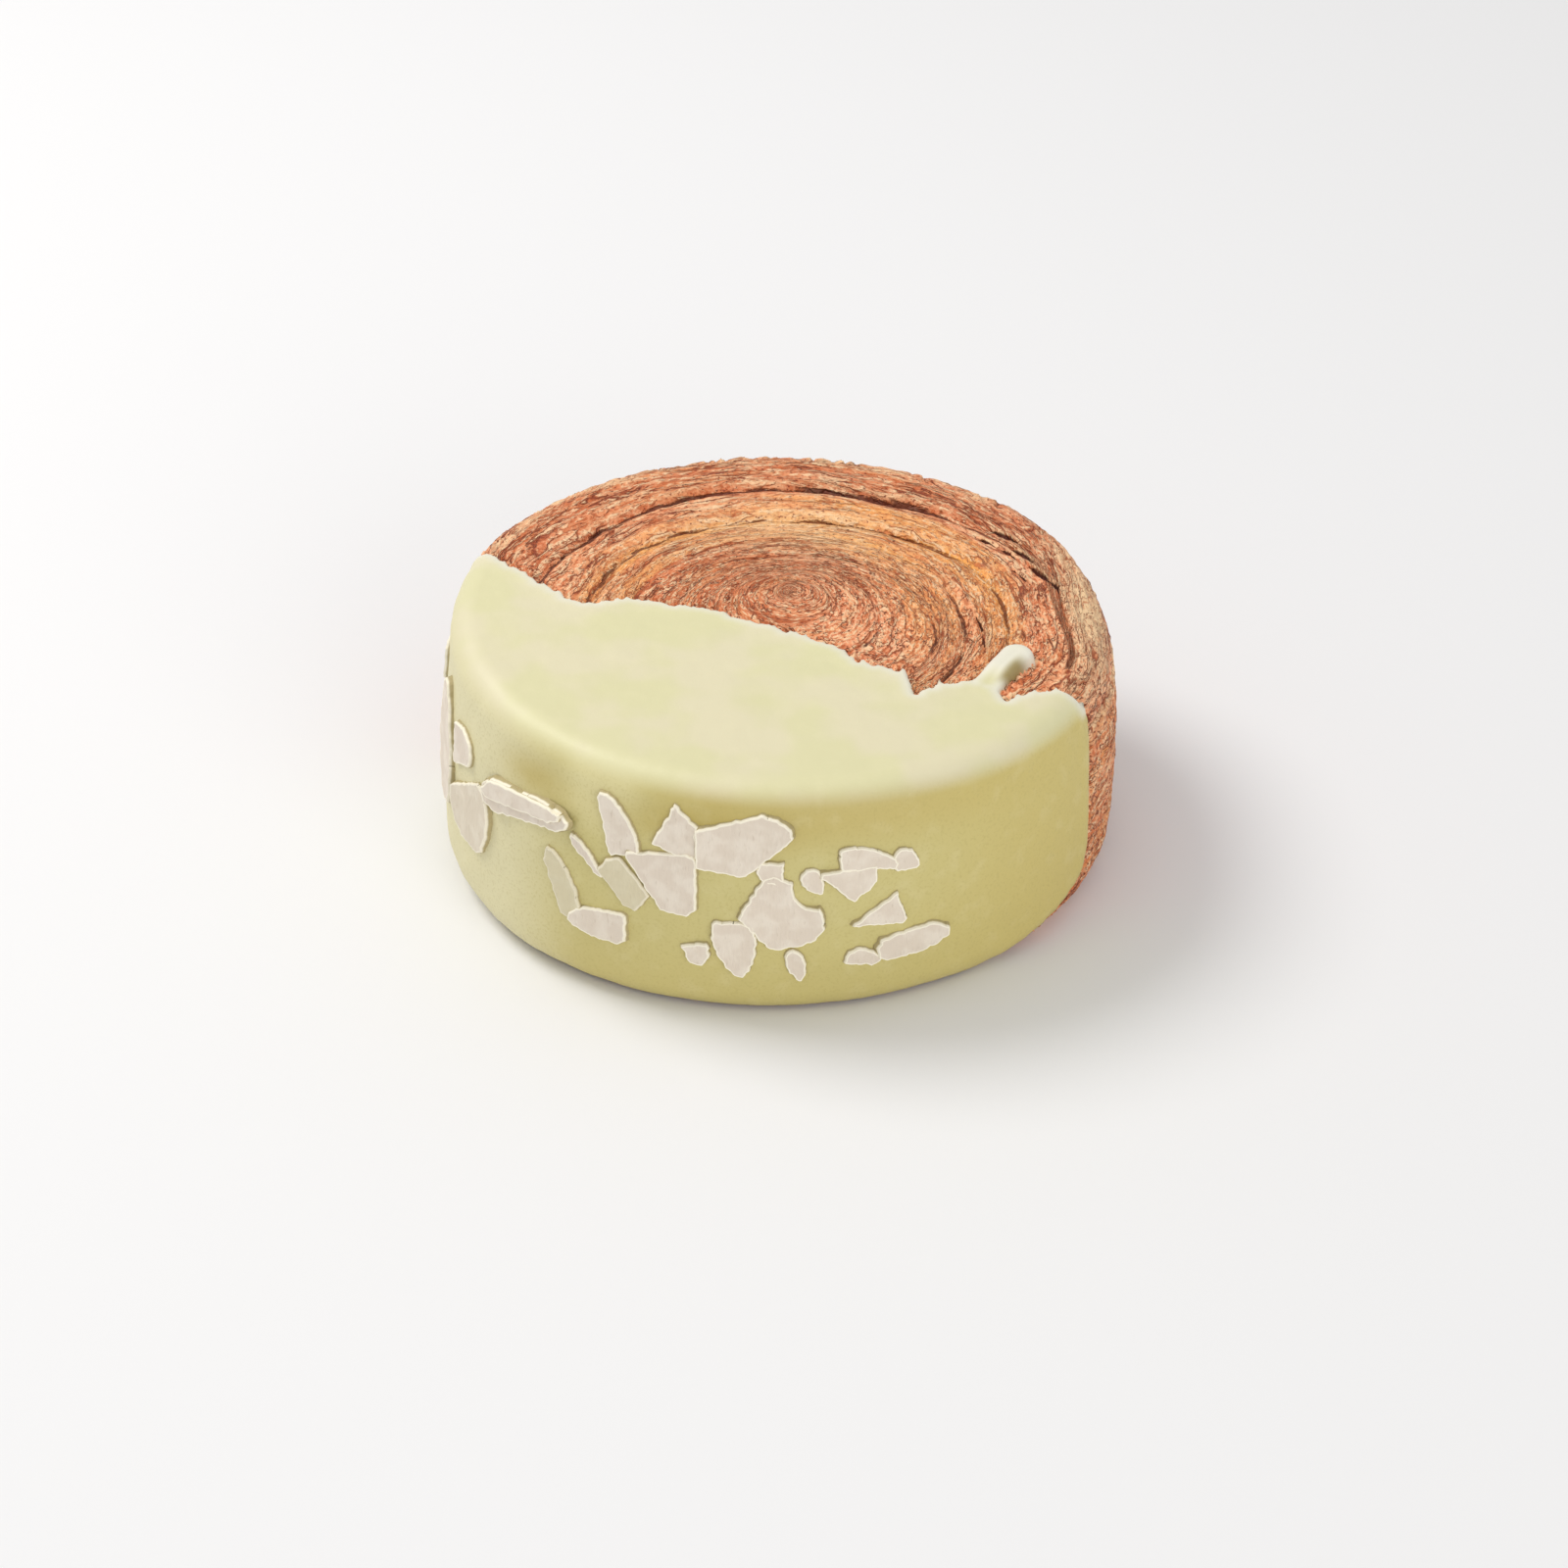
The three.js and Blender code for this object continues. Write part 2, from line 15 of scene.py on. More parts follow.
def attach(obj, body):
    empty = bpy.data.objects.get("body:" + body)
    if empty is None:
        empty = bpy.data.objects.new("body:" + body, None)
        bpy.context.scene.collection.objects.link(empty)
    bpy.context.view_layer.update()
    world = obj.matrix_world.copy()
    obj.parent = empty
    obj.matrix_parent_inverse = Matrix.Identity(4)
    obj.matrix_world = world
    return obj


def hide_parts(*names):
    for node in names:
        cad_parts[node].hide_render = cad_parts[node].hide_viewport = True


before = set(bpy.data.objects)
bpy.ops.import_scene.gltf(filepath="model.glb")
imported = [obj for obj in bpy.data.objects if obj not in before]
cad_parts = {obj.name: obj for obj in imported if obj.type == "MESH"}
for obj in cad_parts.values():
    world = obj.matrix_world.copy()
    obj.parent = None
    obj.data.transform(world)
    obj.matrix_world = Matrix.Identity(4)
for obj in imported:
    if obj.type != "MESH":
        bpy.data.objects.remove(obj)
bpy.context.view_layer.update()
MM = 0.001

# %% [markdown]
# ## The puck's form
# Everything lies on one form: a low round puck with rounded edges, a slightly swollen wall, an oval
# plan and a top that leans a little. It could be fitted to each piece by hand. It is written once as a
# function instead, so that the top, the wall, the coating and the flakes all agree about where the
# surface is.

# %% Driving sizes
RADIUS = 53.0
HEIGHT = 41.0
TOP_ROUND = 4.2         # radius of the shoulder
FOOT_ROUND = 5.1        # and of the lower edge
BARREL = 0.93           # how far the wall draws in, half a height away from its widest level
WIDEST_LEVEL = 12.9
OVAL = 0.008            # share by which the plan is longer across
OVAL_DIAGONAL = 0.018   # and along the diagonal
LEAN = 2.06             # how much lower the top lies at its right edge
SOFT_AZIMUTH, SOFT_SPREAD, SOFT_EXTRA = 6, 17, 3.4      # where the shoulder is rounder
# azimuth, level, spread in degrees, spread in height, depth
WALL_SWELLS = [
    (-5, 25, 30, 11, 0.35),
    (40, 37, 22, 8, 0.95),
    (150, 40, 15, 6, 0.8),
    (180, 33, 35, 9, -0.4),
    (215, 6, 35, 6, 0.5),
    (270, 5, 35, 5, -0.7),
]

# %% Small helpers for curves


def smooth(x, low, high):
    """0 below low, 1 above high and a soft rise between."""
    t = np.clip((x - low) / (high - low), 0, 1)
    return t * t * (3 - 2 * t)


def between(x, rise, fall):
    """1 between a rise and a fall, each a pair of places, and 0 outside them."""
    return smooth(x, *rise) * (1 - smooth(x, *fall))


def bell(x, spread):
    """1 at 0, falling to 0 on both sides past the spread."""
    return np.exp(-((x / spread) ** 2))


def near(azimuth, middle, spread):
    """1 at an azimuth, falling to 0 past the spread, both in degrees."""
    return bell((azimuth - middle + 180) % 360 - 180, spread)


def swelling(rows, azimuth, level):
    """Sum of soft swellings, from rows of azimuth, level, spread in degrees and in height, and depth."""
    return sum(
        depth * near(azimuth, middle, spread) * bell(level - height, tall)
        for middle, height, spread, tall, depth in rows
    )


def azimuth_of(places):
    return np.degrees(np.arctan2(places[..., 1], places[..., 0]))


def radius_of(places):
    return np.hypot(places[..., 0], places[..., 1])


def curve_through(rows, x):
    """A smooth curve y(x) through rows of (x, y), as steep at each row as between its neighbours."""
    xs, ys = np.array(rows, float).T
    slopes = np.empty_like(ys)
    slopes[1:-1] = (ys[2:] - ys[:-2]) / (xs[2:] - xs[:-2])
    slopes[0] = (ys[1] - ys[0]) / (xs[1] - xs[0])
    slopes[-1] = (ys[-1] - ys[-2]) / (xs[-1] - xs[-2])
    k = np.clip(np.searchsorted(xs, x) - 1, 0, len(xs) - 2)
    span = xs[k + 1] - xs[k]
    t = np.clip((x - xs[k]) / span, 0, 1)
    start = (2 * t**3 - 3 * t**2 + 1) * ys[k] + (t**3 - 2 * t**2 + t) * slopes[k] * span
    return start + (3 * t**2 - 2 * t**3) * ys[k + 1] + (t**3 - t**2) * slopes[k + 1] * span


# %% The puck as functions


def top_round(azimuth):
    return TOP_ROUND + SOFT_EXTRA * near(azimuth, SOFT_AZIMUTH, SOFT_SPREAD)


def on_puck(azimuth, radius, level):
    """Points of the outer form for azimuths in degrees and a profile's radius and level."""
    a = np.radians(azimuth)
    r = radius - BARREL * ((level - WIDEST_LEVEL) / (HEIGHT / 2)) ** 2 * (radius / RADIUS)
    r = r + swelling(WALL_SWELLS, azimuth, level) * smooth(radius, RADIUS - FOOT_ROUND, RADIUS)
    r = r * (1 + OVAL * np.cos(2 * a) + OVAL_DIAGONAL * np.sin(2 * a))
    x = r * np.cos(a)
    return np.stack([x, r * np.sin(a), level - LEAN * (level / HEIGHT) * (x / RADIUS)], -1)


def down_profile(azimuth, distance):
    """Radius, level and facing angle at a distance from the top's rim, over the shoulder and down."""
    top = top_round(azimuth)
    shoulder = top * np.pi / 2
    wall = HEIGHT - top - FOOT_ROUND
    turned = np.clip(distance / top, 0, np.pi / 2)
    fallen = np.clip(distance - shoulder, 0, wall)
    tucked = np.clip((distance - shoulder - wall) / FOOT_ROUND, 0, np.pi / 2)
    radius = RADIUS - top * (1 - np.sin(turned)) - FOOT_ROUND * (1 - np.cos(tucked))
    level = HEIGHT - top * (1 - np.cos(turned)) - fallen - FOOT_ROUND * np.sin(tucked)
    return radius, level, np.pi / 2 - turned - tucked


def down_the_side(azimuth, distance):
    """Places at distances down from the rim, their levels and the way that they face."""
    radius, level, facing = down_profile(azimuth, distance)
    return on_puck(azimuth, radius, level), level, facing


def sunk(points, azimuth, facing, depth):
    """Points moved into the puck, against the way that the surface faces."""
    a = np.radians(azimuth)
    outward = np.stack([np.cos(facing) * np.cos(a), np.cos(facing) * np.sin(a), np.sin(facing) + 0 * a], -1)
    return points - outward * depth[..., None]


# %% [markdown]
# ## Unevenness that repeats on every run
# Food is never regular. A random generator would give another pastry each time, so the unevenness is a
# gradient noise worked out from the place itself: the same place always gives the same value.

# %% Gradient noise


def lattice_turn(i, j, seed):
    """A repeatable angle for each corner of a square lattice."""
    s = np.sin(i * 127.1 + j * 311.7 + seed * 74.7) * 43758.5453
    return 2 * np.pi * (s - np.floor(s))


def noise(x, y, seed=0):
    """Smooth unevenness between about -1 and 1, over cells of size 1."""
    x, y = np.broadcast_arrays(np.asarray(x, float), np.asarray(y, float))
    i, j = np.floor(x), np.floor(y)
    u, v = x - i, y - j
    total = 0
    for di in (0, 1):
        for dj in (0, 1):
            turn = lattice_turn(i + di, j + dj, seed)
            pull = np.cos(turn) * (u - di) + np.sin(turn) * (v - dj)
            total = total + pull * (1 - smooth(np.abs(u - di), 0, 1)) * (1 - smooth(np.abs(v - dj), 0, 1))
    return 1.5 * total


def rough(x, y, seed=0, octaves=3):
    """Noise with finer and fainter noise on top."""
    return sum(noise(x * 2**k, y * 2**k, seed + 7 * k) / 2**k for k in range(octaves))


def lumpy(form, size, seed, octaves=3):
    """Unevenness of places on the top as well as on the wall, with lumps of a size in mm."""
    return rough(form[..., 0] / size, (form[..., 1] + form[..., 2]) / size, seed, octaves)


def ring_noise(azimuth, cells, seed):
    """Unevenness round the puck that closes on itself after a full turn."""
    a = np.radians(azimuth)
    return noise(cells / (2 * np.pi) * np.cos(a) + 0.5, cells / (2 * np.pi) * np.sin(a) + 0.5, seed)


def leaf_steps(run, tread=0.82):
    """The profile of overlapping leaves: each rises slowly and drops sharply before the next."""
    share = run - np.floor(run)
    return np.where(share < tread, share / tread, (1 - share) / (1 - tread))


# %% [markdown]
# ## Where the coating ends
# The dip left a wavy edge across the top, and upright edges at both ends. A curve through a few places
# gives the line, small noise makes it ragged, and two notches let bare dough cut in. The same distance
# to that line later thins out the coating and lets the dough rise beside it.

# %% The dip's edge
REACH = 62
DIP_EDGE = [
    (-REACH, 21), (-50.5, 17.2), (-47.8, 15.5), (-43, 10.7), (-36.3, 4.4), (-31, 0.2), (-24, 1.8),
    (-18, 0.6), (-12, -0.2), (-5, -3.4), (1, -6), (9, -10.6), (13.5, -15.2), (19, -16.6), (25, -19.6),
    (30, -18.4), (35, -21.6), (40, -21), (45, -20.4), (48, -22), (REACH, -28),
]
SCALLOP, SCALLOP_PITCH = 0.35, 2.6
RAGGED, RAGGED_PITCH = 0.65, 0.9
# x of the tip, width of its steep and of its gentle side, depth
NOTCHES = [(20.1, 1.0, 4.2, 5.8), (34.0, 1.6, 3.0, 2.6)]
EDGE_STEP = 0.25


def dip_edge(x):
    y = curve_through(DIP_EDGE, x) + SCALLOP * noise(x / SCALLOP_PITCH, 0.3, 3)
    y = y + RAGGED * rough(x / RAGGED_PITCH, 0.3, 11) * (1 + 0.8 * smooth(x, -10, 15))
    for tip, steep, gentle, depth in NOTCHES:
        side = np.where(x < tip, (tip - x) / steep, (x - tip) / gentle)
        y = y - depth * np.clip(1 - side, 0, 1) ** 1.3
    return y


edge_x = np.arange(-REACH, REACH, EDGE_STEP)
edge_line = np.stack([edge_x, dip_edge(edge_x)], -1)
print("the dip's edge has", len(edge_line), "points")

# %% How far inside the coated region a place is
FOOT_AZIMUTH = -48      # where the coating's lower edge starts to rise
FOOT_SLOPE = math.radians(15)
FOOT_WAVE, FOOT_WAVE_LENGTH = 0.3, 3
CORNER_ROUND = 5
COATING_FOOT = 0.7      # level where the coating ends above the base
FINGER_FROM, FINGER_TO = np.array([31.4, -19.5]), np.array([36.2, -11.6])
FINGER_NECK, FINGER_HEAD = 2.3, 2.75      # half widths
FINGER_BLEND = 1.1
CHUNK = 4000


def to_segment(places, start, end):
    """Distance to a straight stretch, and the share of the way along it."""
    run = end - start
    share = np.clip(((places - start) * run).sum(-1) / (run * run).sum(-1), 0, 1)
    return np.linalg.norm(places - start - share[..., None] * run, axis=-1), share


def finger_place(places):
    """Distance to the finger's middle line as a share of its half width, and the share of its length."""
    gap, way = to_segment(places[..., :2], FINGER_FROM, FINGER_TO)
    return gap / (FINGER_NECK + (FINGER_HEAD - FINGER_NECK) * way), way


def edge_gap(places):
    """Signed distance to the dip's edge in plan view, positive on the coated side."""
    nearest = np.empty(len(places), int)
    for first in range(0, len(places), CHUNK):
        gaps = places[first:first + CHUNK, None, :] - edge_line[None]
        nearest[first:first + CHUNK] = (gaps**2).sum(-1).argmin(1)
    best = np.full(len(places), np.inf)
    for step in (-1, 0):
        start = np.clip(nearest + step, 0, len(edge_line) - 2)
        best = np.minimum(best, to_segment(places, edge_line[start], edge_line[start + 1])[0])
    return np.where(dip_edge(places[:, 0]) > places[:, 1], best, -best)


def soft_min(a, b, radius):
    """The smaller of two values, with a round change from one to the other."""
    mix = np.clip(0.5 + (b - a) / (2 * radius), 0, 1)
    return mix * a + (1 - mix) * b - radius * mix * (1 - mix)


def coat_distance(points, azimuth):
    """How far inside the coated region places are, in mm; outside it is negative."""
    inside = edge_gap(points.reshape(-1, 3)[:, :2]).reshape(azimuth.shape)
    along = np.radians((azimuth - FOOT_AZIMUTH + 180) % 360 - 180) * RADIUS
    lift = (points[..., 2] - COATING_FOOT) * math.cos(FOOT_SLOPE) - along * math.sin(FOOT_SLOPE)
    lift = lift + FOOT_WAVE * noise(along / FOOT_WAVE_LENGTH, 0.5, 15)
    inside = soft_min(inside, lift, CORNER_ROUND)
    finger = (1 - finger_place(points)[0]) * FINGER_HEAD
    return np.where(points[..., 2] > HEIGHT / 2, -soft_min(-inside, -finger, FINGER_BLEND), inside)


# %% [markdown]
# ## A sheet that becomes the pastry
# The real top is a long strip rolled up on its edge, so the mesh is one too: a flat grid whose columns
# run along the strip and whose rows cross it. A grid primitive is added, each of its points looks up
# its own column and row, and code carries it to its place, as in sculpting. Merging by distance then
# joins each turn to the next. A lathe would give rings, and rings never make a spiral.

# %% Making and joining a sheet
JOINED = 0.001
SMOOTH_ANGLE = math.radians(75)


def flat_sheet(name, columns, rows):
    """A grid primitive, with the row and column of each of its points."""
    bpy.ops.object.select_all(action="DESELECT")
    bpy.ops.mesh.primitive_grid_add(x_subdivisions=columns, y_subdivisions=rows, size=2, calc_uvs=False)
    piece = bpy.context.object
    piece.name = piece.data.name = name
    flat = np.empty(len(piece.data.vertices) * 3)
    piece.data.vertices.foreach_get("co", flat)
    flat = flat.reshape(-1, 3)
    column = np.rint((flat[:, 0] + 1) / 2 * columns).astype(int)
    row = np.rint((flat[:, 1] + 1) / 2 * rows).astype(int)
    return piece, row, column


def carry(piece, row, column, points):
    """Moves each point of a sheet to its place in a table of rows and columns, given in mm."""
    piece.data.vertices.foreach_set("co", (points[row, column] * MM).ravel())
    piece.data.update()


def store(piece, row, column, tables):
    """Keeps tables of rows and columns on the sheet's points, for its finish."""
    for name, values in tables.items():
        layer = piece.data.attributes.new(name, "FLOAT", "POINT")
        layer.data.foreach_set("value", values[row, column].astype(np.float32))


def unroll(piece, row, column, along, across, turn_of_row):
    """A UV map in mm along and across the strip, which jumps where one turn lies beside the next."""
    mesh = piece.data
    corner = np.empty(len(mesh.loops), int)
    mesh.loops.foreach_get("vertex_index", corner)
    sides = np.empty(len(mesh.polygons), int)
    mesh.polygons.foreach_get("loop_total", sides)
    face = np.repeat(np.arange(len(mesh.polygons)), sides)
    first_row = np.full(len(mesh.polygons), row.max())
    np.minimum.at(first_row, face, row[corner])
    turn = turn_of_row[first_row[face]]
    uv = np.stack([along[turn, column[corner]], across[row[corner], column[corner]]], -1)
    layer = mesh.uv_layers.new(name="strip")
    layer.data.foreach_set("uv", uv.astype(np.float32).ravel())


def count_triangles(piece):
    print(piece.name, "has", sum(len(face.vertices) - 2 for face in piece.data.polygons), "triangles")


def edit(piece):
    bpy.ops.object.select_all(action="DESELECT")
    piece.select_set(True)
    bpy.context.view_layer.objects.active = piece
    bpy.ops.object.mode_set(mode="EDIT")
    bpy.ops.mesh.select_all(action="SELECT")


def face_outward():
    bpy.ops.mesh.select_all(action="SELECT")
    bpy.ops.mesh.normals_make_consistent(inside=False)
    bpy.ops.object.mode_set(mode="OBJECT")


def close_sheet(piece, inward, sink):
    """Merges the turns and closes the open border with a hidden inward collar and a lid."""
    edit(piece)
    bpy.ops.mesh.remove_doubles(threshold=JOINED * MM)
    bpy.ops.mesh.select_all(action="DESELECT")
    bpy.ops.mesh.select_non_manifold(use_wire=False, use_multi_face=False, use_non_contiguous=False,
                                     use_verts=False)
    bpy.ops.mesh.extrude_region_move(TRANSFORM_OT_translate={"value": (0, 0, sink * MM)})
    bpy.ops.transform.resize(value=(inward, inward, 1), center_override=(0, 0, 0))
    bpy.ops.mesh.edge_face_add()
    face_outward()
    bpy.ops.object.shade_smooth_by_angle(angle=SMOOTH_ANGLE)
    count_triangles(piece)


# %% [markdown]
# ## Columns: fine where the dough shows
# The dough shows round the back and hides under the coating in front. The columns stand close together
# where it shows and far apart where it doesn't, which gives twice the detail for the same mesh.

# %% Columns and the spiral's measures
TAIL_AZIMUTH = -18      # where the strip's outer end runs into the rim
COATED_FROM, COATED_TO = -54, -178
# azimuths where a stretch of columns starts and ends, and their step
COLUMN_STRETCHES = [
    (TAIL_AZIMUTH, COATED_FROM, 0.5), (COATED_FROM, COATED_TO, 4), (COATED_TO, TAIL_AZIMUTH - 360, 0.5),
]
TAIL_WIDTH = 7
EYE = np.array([1.5, 6.0])
ROLL_MIDDLE = np.array([2.0, -3.5])
ROLL_MIDDLE_RADIUS, ROLL_MIDDLE_UNTIL = 25, 28
RIM_RADIUS = RADIUS - 5.595
TURNS = 7
TURN_ROWS = 24
FIRST_TURN = (180 - TAIL_AZIMUTH) / 360 - 5
# turns wound, counted clockwise from the left, and the radius of the seam there
SEAM = [
    (FIRST_TURN, 0), (FIRST_TURN + 1, 0), (-3, 3), (-2, 10), (-1, 18.2), (0, 26.6), (0.5, 27.4),
    (1, 32.8), (1.16, 33), (1.24, 32.8), (1.34, 33.1), (1.4, 34.6), (1.5, 34.9), (2, 40.9), (2.08, 39.9),
    (2.16, 40.7), (2.24, 41.3), (2.32, 41.3), (2.42, 43.4), (2.55, RIM_RADIUS),
]


def stretch(start, end, step):
    """Azimuths from start down to end, without the end."""
    count = round(abs(end - start) / step)
    return np.linspace(start, end, count + 1)[:-1]


def column_azimuths(stretches):
    """Azimuths of all columns, stretch after stretch."""
    return np.concatenate([stretch(*one) for one in stretches] + [[stretches[-1][1]]])


azimuths = column_azimuths(COLUMN_STRETCHES)
wound = (TAIL_AZIMUTH - azimuths) / 360
columns = len(azimuths) - 1
print("columns:", columns)

# %% Radius of every seam, and the strip's length up to there
rim = RADIUS - top_round(azimuths)
seams = [np.maximum(curve_through(SEAM, FIRST_TURN + turn + wound), 0) for turn in range(TURNS)]
seams[-1] = np.minimum(seams[-1], rim - TAIL_WIDTH * np.sqrt(1 - wound))
seams = np.array(seams + [rim])
middles = (seams[1:] + seams[:-1]) / 2
steps = np.radians(-np.diff(azimuths)) * (middles[:, 1:] + middles[:, :-1]) / 2
lengths = np.cumsum(steps.ravel()).reshape(steps.shape)
starts = np.concatenate([[0], lengths[:-1, -1]])
strip = np.concatenate([starts[:, None], lengths], 1)
print("the strip is", round(strip[-1, -1] / 10), "cm long")

# %% [markdown]
# ## The rolled top
# The seams between the turns gape, most at the back where the outer turn tore loose. Between them the
# leaves of the lamination show as fine ridges along the strip, with short pits where a leaf broke.
# Bump mapping alone would leave the outline and the shadows flat, so the seams, leaves and pits are
# moved in the mesh, and only what is finer than its columns is left to the finish.

# %% Places of the top's points
SPLIT_LEVEL = 30.6      # the top ends in a groove of the wall, which climbs towards the back
WALL_CLIMB = 5
TOP_EDGE_ROWS = 20

spiral_rows = np.arange(TURNS * TURN_ROWS)
row_turn = spiral_rows // TURN_ROWS
across = (spiral_rows / TURN_ROWS - row_turn)[:, None] + 0 * azimuths
width = seams[row_turn + 1] - seams[row_turn]
radius = seams[row_turn] + width * across
turns = FIRST_TURN + row_turn[:, None] + wound

shift = smooth(radius, 0, ROLL_MIDDLE_RADIUS)[..., None]
home = 1 - smooth(radius, ROLL_MIDDLE_UNTIL, RIM_RADIUS)[..., None]
angle = np.radians(azimuths)
spokes = np.stack([np.cos(angle), np.sin(angle)], -1)
plan = (EYE * (1 - shift) + ROLL_MIDDLE * shift) * home + radius[..., None] * spokes
top_azimuth = azimuth_of(plan)
top_form = on_puck(top_azimuth, radius_of(plan), HEIGHT)


def climb(azimuth):
    """How much higher the wall's leaves lie than in front."""
    return WALL_CLIMB * (1 + np.sin(np.radians(azimuth))) / 2


def groove_level(azimuth):
    """Level of the groove between the top's shoulder and the wall."""
    wavy = SPLIT_LEVEL + climb(azimuth) + 0.7 * ring_noise(azimuth, 17, 41)
    return wavy + 0.3 * ring_noise(azimuth, 60, 42)


groove = (HEIGHT - groove_level(azimuths)) + top_round(azimuths) * (np.pi / 2 - 1)
edge_distance = np.linspace(0, 1, TOP_EDGE_ROWS + 1)[:, None] * groove
edge_azimuth = azimuths + 0 * edge_distance
edge_form, _, edge_facing = down_the_side(edge_azimuth, edge_distance)

# %% [markdown]
# The relief is worked out in the strip's own measures: how far along it, how far across it, and how
# far to the seams on both sides. That is what makes every ridge follow the roll.

# %% Leaves of the dough
LEAF_PITCH, LEAF_DEPTH = 3.3, 0.2
STRAND_PITCH, STRAND_DEPTH = 2.4, 0.22
ROPE_PITCH, ROPE_DEPTH, ROPE_SLANT = 1.6, 0.22, 0.24
PIT_DEPTH, LUMP_DEPTH, GRAIN_DEPTH = 0.25, 0.14, 0.05
RIDGED = -12, 50        # azimuth and spread of the right side, where the leaves twist like a rope
STRIP_WIDTH = 8.0       # of a turn on average


def dough_leaves(along, run, azimuth):
    """Depth, darkness of the gaps, partly browned dough and partly painted shade, lightness of the crests,
    partly paler dough and partly painted highlight, and tone of the leaves on the strip.
    """
    ridged = near(azimuth, *RIDGED)
    wavy = run + 0.8 * noise(along / 30, run / 8, 31) + 0.25 * noise(along / 9, run / 3, 32)

    def grain(long, wide, seed):
        """Noise in cells that are so many mm long and wide on the strip."""
        return noise(along / long, wavy / wide, seed)

    leaf = 1 - leaf_steps(wavy / LEAF_PITCH, 0.8)
    strand = smooth(1 - leaf_steps(wavy / STRAND_PITCH + 0.7 * grain(30, 6, 33), 0.86), 0.3, 0.9)
    strand = strand * smooth(grain(12, 3, 34), -0.1, 0.3)
    lumps = grain(1.7, 1.3, 35)
    rope = 1 - leaf_steps((wavy + ROPE_SLANT * along) / ROPE_PITCH + 0.35 * grain(3, 3, 36), 0.7)
    patchy = smooth(rough(along / 12, run / 4, 38), -0.4, 0.6)
    pits = smooth(grain(1.4, 0.75, 37), 0.4, 0.8) * (0.3 + 0.7 * patchy)
    depth = LEAF_DEPTH * leaf + STRAND_DEPTH * strand + PIT_DEPTH * pits
    depth = depth + ROPE_DEPTH * rope * (0.15 + 0.85 * ridged) * (1 + 0.6 * lumps)
    depth = depth + LUMP_DEPTH * (0.6 + ridged) * (0.5 - lumps) + GRAIN_DEPTH * grain(0.9, 0.6, 39)
    dark = np.maximum(0.8 * strand, 0.85 * pits)
    dark = np.maximum(dark, smooth(rope, 0.75, 1) * ridged * (0.6 + 0.6 * lumps))
    crest = smooth(1 - leaf, 0.6, 1) * (1 - strand)
    crest = crest + ridged * smooth(1 - rope, 0.5, 0.95) * (0.7 + 0.5 * lumps)
    tone = grain(40, 2.2, 46) + 0.5 * grain(12, 1.3, 47)
    return depth, 0.6 * dark, crest, tone


# %% Seams and torn openings
BARE_DEPTH = 0.45       # the dough lies this much lower than the coating beside it
COVERED_DEPTH = 1.45    # and this much under it
FRINGE = 0.8            # unevenness of the dough along the coating's edge
FRINGE_CRUMB, FRINGE_WIDTH = 0.9, 1.2
SEAM_DEPTH = [
    (FIRST_TURN, 0), (-3, 0.2), (-2, 0.3), (-1, 0.3), (0, 0.25), (0.25, 0.15), (0.5, 0.7), (1, 0.4),
    (1.3, 0.9), (1.6, 0.7), (1.9, 0.4), (2.05, 0.3), (2.18, 0.9), (2.3, 1.1), (2.38, 0.8), (2.44, 0.3),
    (2.6, 0.1),
]
INNER_FLANK, OUTER_FLANK = 0.238, 0.385
# how far each seam is torn open
TORN = [
    (FIRST_TURN, 0), (-2, 0.2), (-1, 0.3), (0, 0.3), (0.2, 0.05), (0.35, 0.05), (0.5, 0.75), (1, 0.5),
    (1.1, 0.65), (1.25, 0.8), (1.5, 0.6), (1.85, 0.4), (2, 0.6), (2.12, 0.7), (2.2, 0.9), (2.27, 1.3),
    (2.36, 1.3), (2.4, 0.3), (2.6, 0),
]
TORN_DEPTH, TORN_WIDTH, TORN_WANDER = 0.75, 0.42, 0.45
LIP_RISE, LIP_FROM_SEAM, LIP_WIDTH = 0.1, 1.3, 0.4

to_inner = across * width
last = row_turn[:, None] == TURNS - 1
to_outer = np.where(last, STRIP_WIDTH, (1 - across) * width)
along = strip[row_turn]
inner = curve_through(SEAM_DEPTH, turns) * np.clip(1 - across / INNER_FLANK, 0, 1)
outer = curve_through(SEAM_DEPTH, turns + 1) * np.clip(1 - (1 - across) / OUTER_FLANK, 0, 1) ** 2
broad = inner + outer * ~last


def tear(gap, seam_turn):
    """How far a seam is open, and the distance to its wandering middle, for a signed distance to it."""
    patchy = np.clip(0.85 + 0.8 * noise(seam_turn * 30, 0.4, 22), 0.2, 1.4)
    off = gap - TORN_WANDER * noise(seam_turn * 50, 0.2, 21) - 0.12 * noise(seam_turn * 160, 0.7, 23)
    return curve_through(TORN, seam_turn) * patchy, off


inner_open, inner_off = tear(to_inner, turns)
outer_open, outer_off = tear(-to_outer, turns + 1)
outer_nearer = (np.abs(outer_off) < np.abs(inner_off)) & ~last
torn = np.where(outer_nearer, outer_open, inner_open)
seam_gap = np.where(outer_nearer, outer_off, inner_off)
crack = torn * bell(seam_gap, TORN_WIDTH * (0.6 + 0.5 * torn))
lifted = torn * bell(seam_gap - LIP_FROM_SEAM, LIP_WIDTH)
print("seams are up to", round(broad.max(), 1), "mm deep")

